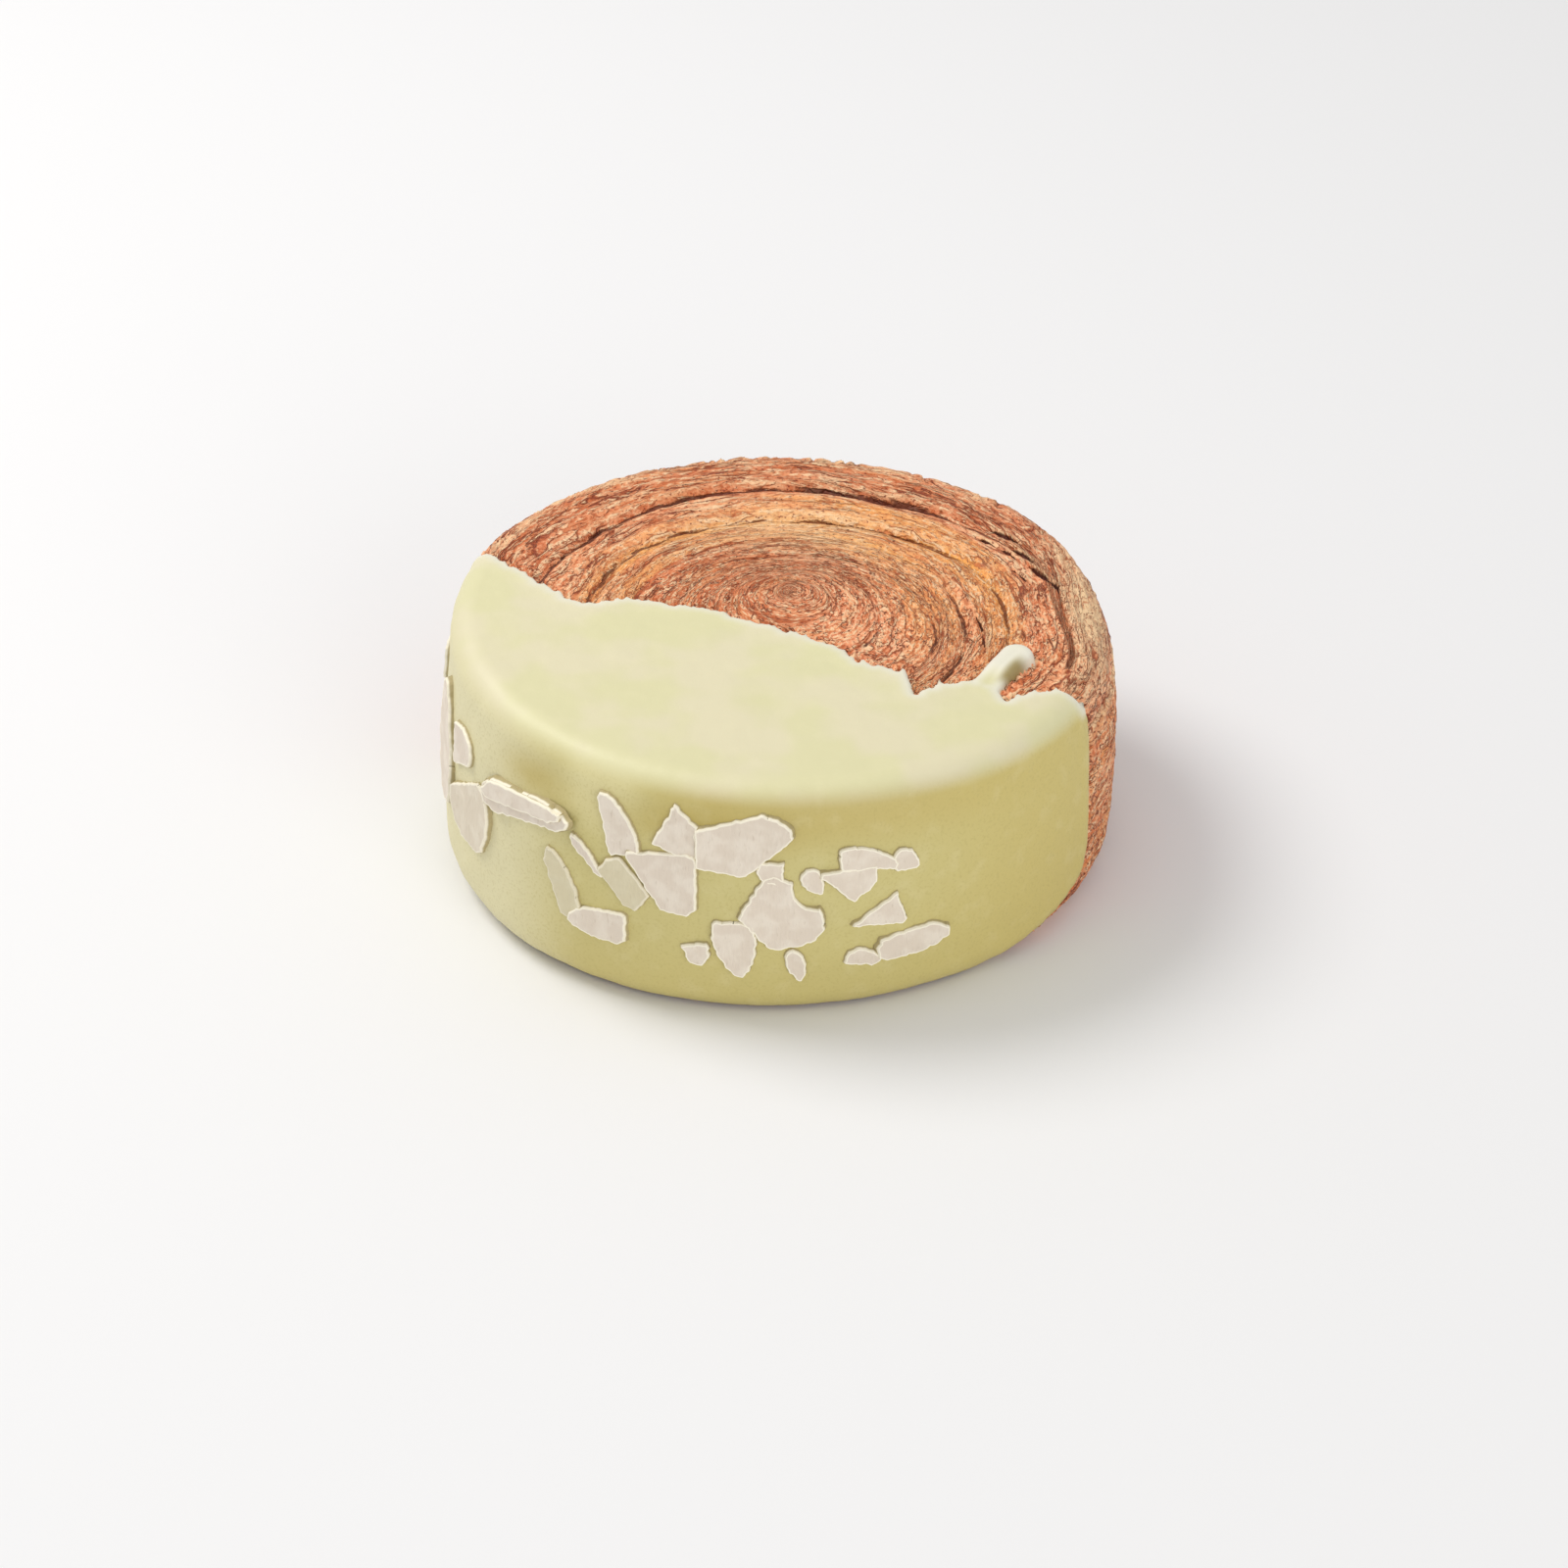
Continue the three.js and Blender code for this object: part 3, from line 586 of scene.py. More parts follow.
# %% Lens-shaped openings between leaves
# azimuth about the roll's middle, half length in degrees, radius, depth
OPENINGS = [
    (40, 4.8, 44.6, 1), (32.7, 4.6, 43.5, 1), (24.7, 5, 43, 1.05), (17.6, 4.2, 43.8, 0.85),
    (41, 4, 41, 0.8), (25, 4.5, 39.9, 0.5), (34.5, 3, 41.6, 0.5), (10, 3, 44.6, 0.5), (4, 5, 29, 0.5),
    (-6, 4, 29.5, 0.4),
]
OPENING_WIDTH = 0.48    # for a depth of 1
OPENING_SLANT = 0.09    # mm nearer the middle for each degree
NO_SLIT = -3            # value far from any opening; inside one it is above 0
STRAND_WIDTH, STRAND_RISE = 0.3, 0.2      # of the dough beside an opening

from_middle = top_form[..., :2] - ROLL_MIDDLE
roll_azimuth, roll_radius = azimuth_of(from_middle), radius_of(from_middle)
slit = NO_SLIT + 0 * radius
opening = 0 * radius
strand_beside = 0 * radius
for at, half, ring, deep in OPENINGS:
    slant = ring - OPENING_SLANT * (roll_azimuth - at)
    lens = 1 - ((roll_azimuth - at) / half) ** 2 - np.abs(roll_radius - slant) / (OPENING_WIDTH * deep)
    slit = np.maximum(slit, lens)
    opening = np.maximum(opening, deep * smooth(lens, -0.4, 0.6))
    bridge = bell(roll_radius - slant - 1.1 * OPENING_WIDTH, STRAND_WIDTH) * near(roll_azimuth, at, half)
    strand_beside = np.maximum(strand_beside, bridge)

# %% Relief of the top
run = (turns + across) * STRIP_WIDTH
depth, dark, crest, tone = dough_leaves(along, run, top_azimuth)
calm = smooth(-turns, 0.6, 1.8)      # the middle of the roll rose less, so its leaves stay shut
depth = depth * (1 - 0.5 * calm)
beside = smooth(to_inner, 0, 0.5) * smooth(to_outer, 0, 0.5)
top_depth = depth * beside + broad + TORN_DEPTH * crack - LIP_RISE * lifted + opening
top_depth = top_depth - STRAND_RISE * strand_beside
top_dark = dark * beside

# %% Relief of the shoulder, whose rows close on themselves
NOTCH_PITCH, NOTCH_DEPTH, FLAP_LIFT = 3.6, 0.7, 0.35
NOTCH_FROM_RIM, NOTCH_SPREAD = 2.2, 1.7
GROOVE_DEPTH, GROOVE_WIDTH = 0.9, 0.5
turn_length = 2 * np.pi * RADIUS
shoulder_run = (FIRST_TURN + TURNS + wound) * STRIP_WIDTH + edge_distance


def faded(start, turn_before):
    """A pattern that fades into the one from a full turn earlier, so that its ends meet."""
    fade = smooth(wound, 0.86, 1)
    return [one * (1 - fade) + other * fade for one, other in zip(start, turn_before)]


shoulder_along = strip[-1] + 0 * edge_distance
shoulder = faded(
    dough_leaves(shoulder_along, shoulder_run, edge_azimuth),
    dough_leaves(shoulder_along - strip[-1, -1] + strip[-1, 0], shoulder_run - STRIP_WIDTH, edge_azimuth),
)
groove_depth = GROOVE_DEPTH * bell(groove - edge_distance, GROOVE_WIDTH)
notch_run = np.round(turn_length / NOTCH_PITCH) * wound + 1.2 * ring_noise(azimuths, 70, 64)
notch_run = notch_run + 0.25 * edge_distance
at_rim = bell(edge_distance - NOTCH_FROM_RIM, NOTCH_SPREAD) * (1 - near(edge_azimuth, SOFT_AZIMUTH, 22))
at_rim = at_rim * smooth(ring_noise(edge_azimuth, 40, 65), -0.5, 0.1)
step = leaf_steps(notch_run, 0.82)
notches = smooth(1 - step, 0.55, 0.95) * at_rim
flaps = smooth(step, 0.5, 1) * at_rim * (0.6 + 0.6 * ring_noise(edge_azimuth, 110, 66))

# %% The whole top as one table
SWELL, SWELL_SIZE = 0.2, 11
JOINT_WIDTH = 0.8
NO_SEAM = 3             # a distance at which no seam has any effect
SINKS_FROM, SINKS_TO = 0.3, 1.2         # distances inside the coating's edge


def stack(spiral, edge):
    """Rows of the spiral, with the rows over the shoulder below them."""
    return np.concatenate([spiral + 0 * radius, edge + 0 * edge_distance])


def broad_swell(form):
    return SWELL * rough(form[..., 0] / SWELL_SIZE, form[..., 1] / SWELL_SIZE, 40)


def settled(form, azimuth, depth):
    """Bare relief, or the flat bed under the coating."""
    coat = coat_distance(form, azimuth)
    under = smooth(coat, SINKS_FROM, SINKS_TO)
    fringe = bell(coat, FRINGE_WIDTH) * lumpy(form, FRINGE_CRUMB, 73, 2)
    return (depth + FRINGE * fringe) * (1 - under) + COVERED_DEPTH * under


top_form = np.concatenate([top_form, edge_form])
top_azimuth = stack(top_azimuth, edge_azimuth)
top_facing = stack(np.pi / 2, edge_facing)
# The relief fades where rows run together: at the strip's outer end and in the eye.
from_tail = np.radians((azimuths - TAIL_AZIMUTH + 180) % 360 - 180) * RADIUS
whole = smooth(np.hypot(from_tail, stack(rim - radius, edge_distance)), 0, 2)
whole = whole * smooth(stack(radius, RADIUS), 0, 1)
swell = broad_swell(top_form)
joint = smooth(groove - edge_distance, 0, JOINT_WIDTH)
edge_depth = shoulder[0] * joint + groove_depth + NOTCH_DEPTH * notches - FLAP_LIFT * flaps
depth = stack(top_depth, edge_depth) * whole + BARE_DEPTH + swell
top_places = sunk(top_form, top_azimuth, top_facing, settled(top_form, top_azimuth, depth))
top_dark = stack(top_dark, np.maximum.reduce([shoulder[1], groove_depth, notches])) * whole
top_run = stack(run, shoulder_run)
print("top relief from", round(depth.min(), 2), "to", round(depth.max(), 2), "mm deep")

# %% [markdown]
# ## Where the top is golden, brown or pale
# The butter-rich valley baked golden, the outer turn pinkish brown and the lips at the rim stayed pale.
# A painter would mask these by hand. Here each is a number from 0 to 1 that is kept on the mesh's
# points, worked out from how far the strip has been wound, so that it follows the roll.

# %% Colour zones of the top
# azimuth and spread about the roll's middle, radii where a patch fades in and out, strength
GOLD_PATCHES = [(68, 45, (20, 26), (38, 42), 0.7), (15, 35, (13, 20), (25, 31), 0.5)]
PALE_PATCH = (92, 30, (21, 25), (33, 37), 0.28)
# turns wound, and how golden the seam is there
GOLDEN_SEAM_TURN = [(0, 0), (0.7, 0.3), (1, 0.55), (1.25, 1), (1.45, 0.9), (1.6, 0.35), (1.8, 0)]
GOLDEN_WIDTH = 2.6


def soft_patch(middle, spread, rise, fall, strength):
    return strength * near(roll_azimuth, middle, spread) * between(roll_radius, rise, fall)


gold_inner = curve_through(GOLDEN_SEAM_TURN, turns) * bell(to_inner, GOLDEN_WIDTH)
gold_outer = curve_through(GOLDEN_SEAM_TURN, turns + 1) * bell(to_outer, 1.8 * GOLDEN_WIDTH)
gold_third = 0.55 * between(turns, (-0.3, 0.05), (0.2, 0.5))
gold_patches = [soft_patch(*values) for values in GOLD_PATCHES]
gold = np.maximum.reduce([gold_inner, gold_outer, gold_third, *gold_patches])
gold = np.clip(gold + 0.25 * tone, 0, 1)
darker_left = 0.9 * near(roll_azimuth, 150, 40) * (1 - gold)
brown = smooth(turns, 1.9, 2.0) + 0.3 * between(turns, (0.9, 1.02), (1.05, 1.25))
eye_brown = 0.5 - 0.5 * np.cos(np.radians(roll_azimuth))     # browner left of the eye
brown = brown + smooth(-turns, 0.05, 0.4) * eye_brown
brown = np.clip(brown * (0.75 + 0.3 * rough(along / 30, across * 3, 61)), 0, 1)
lip = bell(edge_distance - 1.2, 1.6) * smooth(ring_noise(edge_azimuth, 30, 62), -0.4, 0.4)
soft_lip = near(edge_azimuth, SOFT_AZIMUTH, 19) * between(edge_distance, (0, 3), (6, 10))
pale_edge = np.maximum.reduce([0.6 * lip, 1.3 * flaps, soft_lip])
pale_spiral = np.clip(0.25 * lifted + 0.8 * strand_beside + soft_patch(*PALE_PATCH), 0, 1)
ridged_left = stack(smooth(-turns, 0.1, 0.9), 0) + near(top_azimuth, 168, 20)
# dark marks gaps, grooves, notches and pits, painted partly as shade; crest marks ridge tops, painted partly
# as highlight
top_tables = {
    "dark": np.clip(top_dark, 0, 1),
    "crest": np.clip(stack(crest, shoulder[2]), 0, 1),
    "tone": stack(tone - darker_left, shoulder[3]),
    "gold": stack(gold, 0),
    "brown": stack(brown, np.clip(brown[-1:] * (1 - edge_distance / 8), 0, 1)),
    "pale": stack(pale_spiral, pale_edge),
    "ridged": np.clip(near(top_azimuth, -18, 52) + 0.6 * ridged_left, 0, 1),
    "calm": stack(calm, 0),
    "torn": stack(torn, 0),
    "seam_gap": stack(np.abs(seam_gap), NO_SEAM),
    "slit": stack(slit, NO_SLIT),
}

# %% Make the top
rolled_top, row, column = flat_sheet("rolled_top", columns, len(top_places) - 1)
carry(rolled_top, row, column, top_places)
store(rolled_top, row, column, top_tables)
unroll(rolled_top, row, column, strip, top_run, np.append(row_turn, [TURNS - 1] * (TOP_EDGE_ROWS + 1)))
close_sheet(rolled_top, inward=0.9, sink=-3)
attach(rolled_top, "root")
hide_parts("pastry")

# %% [markdown]
# ## The baked wall
# The wall shows the edges of the leaves: nearly level strands that climb towards the back, with torn
# gaps between them. It meets the top in one of those gaps, where nobody looks for a joint. It is made
# the same way, as a second sheet wrapped round the puck and drawn together under its base.

# %% Places of the wall's points
WALL_ROWS, BASE_ROWS = 96, 12
WALL_LEAF_PITCH, WALL_STRAND_PITCH = 4.6, 1.25
WALL_LEAF, WALL_STRAND, WALL_PIT, WALL_GRAIN = 0.42, 0.26, 0.4, 0.07
COVERED_AZIMUTH = -110   # well under the coating
bottom = HEIGHT - FOOT_ROUND + (np.pi / 2 - 1) * top_round(azimuths) + FOOT_ROUND * np.pi / 2
wall_distance = groove + np.linspace(0, 1, WALL_ROWS + 1)[:, None] * (bottom - groove)
wall_azimuth = azimuths + 0 * wall_distance
wall_form, wall_level, wall_facing = down_the_side(wall_azimuth, wall_distance)


def wall_leaves(run, level, azimuth):
    """Depth, darkness, partly browned dough and partly painted shade, lightness, partly paler dough and
    partly painted highlight, and tone of the wall's strands.
    """
    height = level - climb(azimuth)

    def grain(long, tall, seed):
        """Noise in cells that are so many mm long and tall on the wall."""
        return noise(run / long, height / tall, seed)

    warp = 0.5 * grain(17, 9, 51) + 0.25 * grain(5, 4, 52)
    leaf = height / WALL_LEAF_PITCH + warp
    strand = height / WALL_STRAND_PITCH + 1.6 * warp + 0.4 * grain(4, 3, 53)
    gap, fine_gap = 1 - leaf_steps(-leaf), 1 - leaf_steps(-strand, 0.72)
    torn = rough(run / 4, leaf * 2, 54)
    pits = smooth(grain(2.1, 0.6, 55) + 0.4 * grain(0.9, 0.45, 56), 0.4, 0.95)
    depth = WALL_LEAF * gap * (0.75 + 0.5 * torn) + WALL_STRAND * fine_gap * (0.8 + 0.4 * torn)
    depth = depth + WALL_PIT * pits + WALL_GRAIN * grain(0.9, 0.6, 57)
    dark = smooth(gap * (0.85 + 0.35 * torn), 0.72, 1.05) + 0.7 * pits + 0.55 * smooth(fine_gap, 0.6, 1)
    crest = 0.7 * smooth(1 - fine_gap, 0.5, 1)
    tone = noise(run / 25, leaf, 58) + 0.5 * noise(run / 6, strand, 59)
    return depth, dark, crest, tone


# %% Relief of the wall and its base
around = -np.radians(azimuths) * RADIUS + 0 * wall_distance
wall = faded(
    wall_leaves(around, wall_level, wall_azimuth),
    wall_leaves(around - turn_length, wall_level, wall_azimuth),
)
from_groove = wall_distance - groove
foot = smooth(bottom - wall_distance, 0.5, 4)
seam_groove = GROOVE_DEPTH * bell(from_groove, GROOVE_WIDTH)
joint = smooth(from_groove, 0, JOINT_WIDTH)
wall_depth = (wall[0] * joint + seam_groove) * foot + BARE_DEPTH
wall_depth = wall_depth + broad_swell(wall_form) * foot
wall_places = sunk(wall_form, wall_azimuth, wall_facing, settled(wall_form, wall_azimuth, wall_depth))
wall_places[..., 2] = np.maximum(wall_places[..., 2], 0)

# The rows of the base run inward from the wall's foot and lie a little hollow.
base_share = np.linspace(1, 0, BASE_ROWS + 1)[1:, None]
base_places = wall_places[-1:] * base_share[..., None]
base_rise = 0.25 + 0.25 * noise(base_places[..., 0] / 3, base_places[..., 1] / 3, 71)
base_places[..., 2] = base_rise * smooth(1 - base_share, 0, 0.15)
base_places[-1] = [0, 0, base_rise.mean()]


def with_base(table, base):
    return np.concatenate([table, base + 0 * base_rise])


wall_places = np.concatenate([wall_places, base_places])

# %% Colour zones of the wall
# marks that are the same all over the wall, each with its value on the base
PLAIN_MARKS = {
    "ridged": (0.7, 0.3), "calm": (0, 0.5), "torn": (0, 0), "seam_gap": (NO_SEAM, NO_SEAM),
    "slit": (NO_SLIT, NO_SLIT),
}
lip = bell(from_groove - 1, 1)
wall_pale = 0.7 * near(wall_azimuth, SOFT_AZIMUTH, 16) * (1 - smooth(from_groove, 0.5, 4)) + 0.25 * lip
wall_brown = 0.4 + 0.3 * wall[3] + 0.6 * smooth(-wall_level, -22, -2)
# on the wall too, dark is partly painted shade and crest partly painted highlight
wall_tables = {
    "dark": with_base(np.clip(np.maximum(wall[1] * joint, seam_groove) * foot, 0, 1), 0.1),
    "crest": with_base(np.clip(wall[2], 0, 1), 0.2),
    "tone": with_base(wall[3], 0.3 * noise(base_places[..., 0] / 8, base_places[..., 1] / 8, 72)),
    "gold": with_base(np.clip(0.15 + 0.3 * wall[3], 0, 1), 0.3),
    "brown": with_base(np.clip(wall_brown, 0, 1), 0.5),
    "pale": with_base(wall_pale, 0),
}
for name, (on_wall, on_base) in PLAIN_MARKS.items():
    wall_tables[name] = with_base(on_wall + 0 * wall_distance, on_base)

# %% Make the wall
baked_wall, row, column = flat_sheet("baked_wall", columns, len(wall_places) - 1)
carry(baked_wall, row, column, wall_places)
store(baked_wall, row, column, wall_tables)
wall_v = np.concatenate([climb(wall_azimuth) - wall_level, climb(azimuths) + RADIUS * (1 - base_share)])
from_cover = -np.radians((azimuths - COVERED_AZIMUTH) % 360) * RADIUS     # its ends meet there
unroll(baked_wall, row, column, from_cover[None, :], wall_v, np.zeros(len(wall_places), int))
close_sheet(baked_wall, inward=0.9, sink=1)
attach(baked_wall, "root")
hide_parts("pastry")

# %% [markdown]
# ## The pistachio coating
# Melted coating ran up to a ragged line and set with a rounded lip, and one finger of it ran back over
# the dough. A sheet is laid over the puck's form, a little past the real edge. Its height follows from
# the distance to that edge: level inside, round at the lip, and steep below the dough outside, so that
# the dough itself cuts the final edge. Faces far outside are deleted, and a Solidify modifier gives the
# thickness.

# %% Places of the coating's points
LIP = 0.75
LIP_FALL = 2.2
KEPT = -1.5             # faces further outside the edge are deleted
CROWDING = 0.45         # how much closer the top's rows stand at the dip's edge
COAT_THICKNESS = 1.1
COAT_WALL_ROWS, COAT_TOP_ROWS = 46, 74
# azimuth, and x and y of the sheet's inner border on the top
INNER_BORDER = [
    (-206, -41, 22), (-195, -42.5, 18.5), (-180, -40, 13), (-160, -34, 8), (-140, -27, 5), (-120, -16, 4.5),
    (-105, -5, 2), (-92, 5, -2.5), (-80, 14, -7), (-65, 24, -9.5), (-55, 31, -7.5), (-45, 36, -6),
    (-35, 40.5, -8.5), (-21.5, 43.5, -14),
]
coat_columns = column_azimuths([(-21.5, -31.5, 0.25), (-31.5, -190, 0.62), (-190, -206, 0.3)])
coat_top_round = top_round(coat_columns)
rim_distance = HEIGHT - FOOT_ROUND + (np.pi / 2 - 1) * coat_top_round
lowest = rim_distance + FOOT_ROUND * math.asin(1 - COATING_FOOT / FOOT_ROUND)
coat_distance_down = np.linspace(1, 0, COAT_WALL_ROWS + 1)[:, None] * lowest
coat_wall_azimuth = coat_columns + 0 * coat_distance_down
coat_form, _, coat_facing = down_the_side(coat_wall_azimuth, coat_distance_down)

border = np.array(sorted(INNER_BORDER))
border_plan = np.stack([curve_through(border[:, [0, k]], coat_columns) for k in (1, 2)], -1)
rim_plan = coat_form[-1, :, :2]
share = np.linspace(0, 1, COAT_TOP_ROWS + 1)[1:, None]
share = share * (1 + CROWDING - CROWDING * share)
plan = rim_plan * (1 - share[..., None]) + border_plan * share[..., None]
plan_azimuth = azimuth_of(plan)
top_level = HEIGHT - LEAN * plan[..., 0] / RADIUS
coat_form = np.concatenate([coat_form, np.concatenate([plan, top_level[..., None]], -1)])
coat_azimuth = np.concatenate([coat_wall_azimuth, plan_azimuth])
coat_facing = np.concatenate([coat_facing, 0 * share + np.pi / 2 + 0 * plan_azimuth])
print("coating sheet:", coat_form.shape[:2])

# %% Height of the coating
FINGER_TOP = 0.95
COAT_DROP = 0.1         # the whole skin sits this much into the form
LIP_BULGE, BULGE_FROM_EDGE, BULGE_WIDTH = 0.18, 1.6, 1.2
# height and size of the skin's waves, and their seed
COAT_WAVES = [(0.12, 9, 81), (0.03, 2, 82)]
# azimuth, level, spread in degrees, spread in height, depth of the dents in the coated wall
DENTS = [(-131, 36, 13, 4.5, 0.45), (-170, 34, 8, 6, 0.25), (-112, 34, 6, 3, 0.15)]
inside = coat_distance(coat_form, coat_azimuth)
high_up = coat_form[..., 2] > HEIGHT / 2
rounded = np.clip(LIP - inside, 0, LIP)
height = -LIP + np.sqrt(LIP**2 - rounded**2) + LIP_FALL * np.minimum(inside, 0)
height = height + LIP_BULGE * bell(inside - BULGE_FROM_EDGE, BULGE_WIDTH)
for rise, size, seed in COAT_WAVES:
    height = height + rise * lumpy(coat_form, size, seed)
height = height - swelling(DENTS, coat_azimuth, coat_form[..., 2])

# %% The finger on top of the coating
gap, way = finger_place(coat_form)
finger = np.sqrt(np.clip(1 - gap**2, 0, 1)) * smooth(way, 0.05, 0.5)
finger_run = FINGER_TO - FINGER_FROM
beside_finger = coat_form[..., 0] - FINGER_FROM[0], coat_form[..., 1] - FINGER_FROM[1]
right_of_finger = beside_finger[0] * finger_run[1] - beside_finger[1] * finger_run[0]
# The finger's right flank, away from the light, gets a painted shadow.
shaded_flank = smooth(right_of_finger / np.hypot(*finger_run), 0.3, 1.8) * smooth(1.5 - gap, 0, 0.4)
shaded_flank = shaded_flank * between(way, (0, 0.3), (0.6, 1)) * high_up
height = height + FINGER_TOP * finger * high_up - COAT_DROP
coat_places = sunk(coat_form, coat_azimuth, coat_facing, -height)

# %% Make the coating
# Below, the olive band under the shoulder and on the finger's flank is painted shade.
OLIVE_LEVEL, OLIVE_TALL = 33.8, 3.4      # of the darker hollows under the shoulder
coating, row, column = flat_sheet("pistachio_coating", len(coat_columns) - 1, len(coat_places) - 1)
carry(coating, row, column, coat_places)
olive_places = near(coat_azimuth, -135, 7) + near(coat_azimuth, -104, 15)
olive_level = OLIVE_LEVEL + 1.2 * noise(coat_azimuth / 9, 0.3, 83)
shade_under_shoulder = bell(coat_form[..., 2] - olive_level, OLIVE_TALL) * np.clip(olive_places, 0, 1)
# The finger mark places painted light on the finger's rounded top.
store(coating, row, column, {
    "inside": inside,
    "finger": finger * (1 - shaded_flank),
    "olive_shade": np.maximum(0.7 * shade_under_shoulder, shaded_flank),
})
edit(coating)
bpy.ops.mesh.select_all(action="DESELECT")
bpy.ops.object.mode_set(mode="OBJECT")
coating.data.vertices.foreach_set("select", inside[row, column] < KEPT)
bpy.ops.object.mode_set(mode="EDIT")
bpy.ops.mesh.delete(type="VERT")
face_outward()
top_faces = [face.normal.z for face in coating.data.polygons if face.center.z > 0.95 * HEIGHT * MM]
print("top faces point up:", round(sum(top_faces) / len(top_faces), 2))
skin = coating.modifiers.new("thickness", "SOLIDIFY")
skin.thickness = COAT_THICKNESS * MM
skin.offset = -1
bpy.ops.object.modifier_apply(modifier=skin.name)
bpy.ops.object.shade_smooth_by_angle(angle=SMOOTH_ANGLE)
count_triangles(coating)
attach(coating, "root")
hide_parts("pistachio_glaze")

# %% [markdown]
# ## Almond flakes
# Flaked almonds are thin slices of a teardrop outline, most of them broken. Each starts as a filled circle
# that is drawn out to the teardrop, turned, and cut with bisect where it broke. Its outline is inset for the
# rim that carries a painted highlight, extruded, flared at the foot where the coating crept up, which also
# carries a painted contact shadow, and bevelled. A random scatter would be quicker, but every flake here has
# its own place and shape on the real wall.

# %% The flakes' table
FLAKE_THICKNESS, FLAKE_STAND = 1.1, 0.55
FLAKE_POINTS, FLAKE_TAPER = 13, 0.3
FLAKE_WAVE, FLAKE_BEVEL = 0.12, 0.13
LARGE_FLAKE, LARGE_CURL, SMALL_CURL = 11, 0.25, 0.1
FLAKE_EDGE = 0.6        # longest stretch of a broken edge that stays straight
EDGE_HALVINGS = 4
RAGGED_FLAKE = 0.22
# The rim width below is that of a painted highlight along each slice's edge.
FLAKE_LIT_RIM = 0.32        # the pale edge of each slice
FOOT_FLARE = 0.4        # the coating crept up against each flake
# azimuth, level, length, width, turn, breaks as (facing, distance) or (facing, distance, bite radius)
FLAKES = [
    (-167, 23.2, 21, 10, 97, [(40, 6.5)]),
    (-156.5, 27.4, 9, 8, 30, [(-64, 2.4), (180, 3.1)]),
    (-152, 19.1, 15, 12, 48, [(121, 4.3), (-90, 6.5)]),
    (-136.2, 27.6, 20, 6.4, 10, [(97, 2.5), (-76, 2.2)]),
    (-123, 24.6, 8, 1.6, -44, []),
    (-117.8, 30.9, 12, 5.8, 113, [(90, 5.2), (-75, 4.4), (192, 1.9)]),
    (-128.3, 17.9, 12, 5.2, 112, [(60, 4.2), (200, 1.7)]),
    (-120.5, 13.6, 11.4, 6, 188, [(0, 4.3), (100, 2.3)]),
    (-115.7, 21.5, 10, 7.2, -42, [(42, 2.4), (219, 2.5), (-35, 3.4)]),
    (-108.7, 24, 14, 13, 25, [(0, 4.4), (-92, 5.3), (213, 3.7), (100, 4.8)]),
    (-106.9, 32.2, 12, 9, 100, [(154, 2.7), (47, 3.2), (0, 2.7), (250, 3.3)]),
    (-97, 31.6, 17, 12, 20, [(109, 4), (180, 6.4), (-45, 4.4), (-97, 5)]),
    (-91.2, 27.4, 5, 4.4, -45, [(90, 1.5), (0, 1.3)]),
    (-90.5, 19.6, 14.4, 12.6, -22, [(150, 5.2), (-140, 4.8), (42, 7.6, 3.8)]),
    (-97.6, 14.2, 12, 6.4, -82, [(90, 4)]),
    (-104.2, 12.4, 5.4, 4.4, -70, [(104, 1.2), (200, 1.6)]),
    (-87.7, 10.5, 6.2, 2.7, -76, []),
    (-84.8, 25.5, 4.8, 3, -60, []),
    (-76, 28.4, 10.4, 4.2, -15, [(-95, 1.4), (180, 4)]),
    (-78, 25.1, 11, 8, 10, [(224, 2.7), (-49, 2.6), (0, 3.4), (92, 2.2)]),
    (-69.1, 27.3, 4.4, 3.6, -30, []),
    (-72.8, 18.5, 11, 7, 25, [(-97, 1.8), (18, 2.7), (123, 1.8)]),
    (-67.7, 12.5, 12, 6, 4, [(96, 2), (-90, 2.6)]),
    (-76.5, 10.7, 5.6, 3.6, -10, [(-106, 1)]),
    (-136.6, 28.3, 18, 4.4, 11, [(97, 1.5), (-80, 1.3)]),
    (176, 28, 9.6, 7, 60, [(150, 2.8), (-60, 3)]),
    (177, 13, 10, 6.6, 20, [(180, 3.6)]),
]
# which of them the coating ran over, and how much
COATED_FLAKES = {2: 0.15, 6: 0.55, 8: 0.5}
# which of them lies on another one, and how much higher
UPPER_FLAKES = {24: 0.45}


def wall_frame(azimuth, level):
    """A place on the wall: across to the right, upward and outward, as a matrix in metres."""
    here = on_puck(azimuth, RADIUS, level)
    beside = on_puck(azimuth + 0.1, RADIUS, level)
    above = on_puck(azimuth, RADIUS, level + 0.1)
    across = (beside - here) / np.linalg.norm(beside - here)
    upward = (above - here) / np.linalg.norm(above - here)
    outward = np.cross(across, upward)
    frame_rows = np.eye(4)
    frame_rows[:3] = np.stack([across, upward, outward, here * MM], -1)
    return Matrix(frame_rows.tolist())


# %% Outline of a flake


def direction(degrees):
    return Vector((math.cos(math.radians(degrees)), math.sin(math.radians(degrees)), 0))


def teardrop(length, breadth, turn):
    """A filled circle, drawn out to a teardrop and turned."""
    bpy.ops.object.select_all(action="DESELECT")
    bpy.ops.mesh.primitive_circle_add(vertices=FLAKE_POINTS, radius=MM, fill_type="NGON", calc_uvs=False)
    piece = bpy.context.object
    spin = math.radians(turn)
    for point in piece.data.vertices:
        x = length / 2 * point.co.x
        y = breadth / 2 * point.co.y * (1 - FLAKE_TAPER * point.co.x / MM)
        point.co = (x * math.cos(spin) - y * math.sin(spin), x * math.sin(spin) + y * math.cos(spin), 0)
    return piece


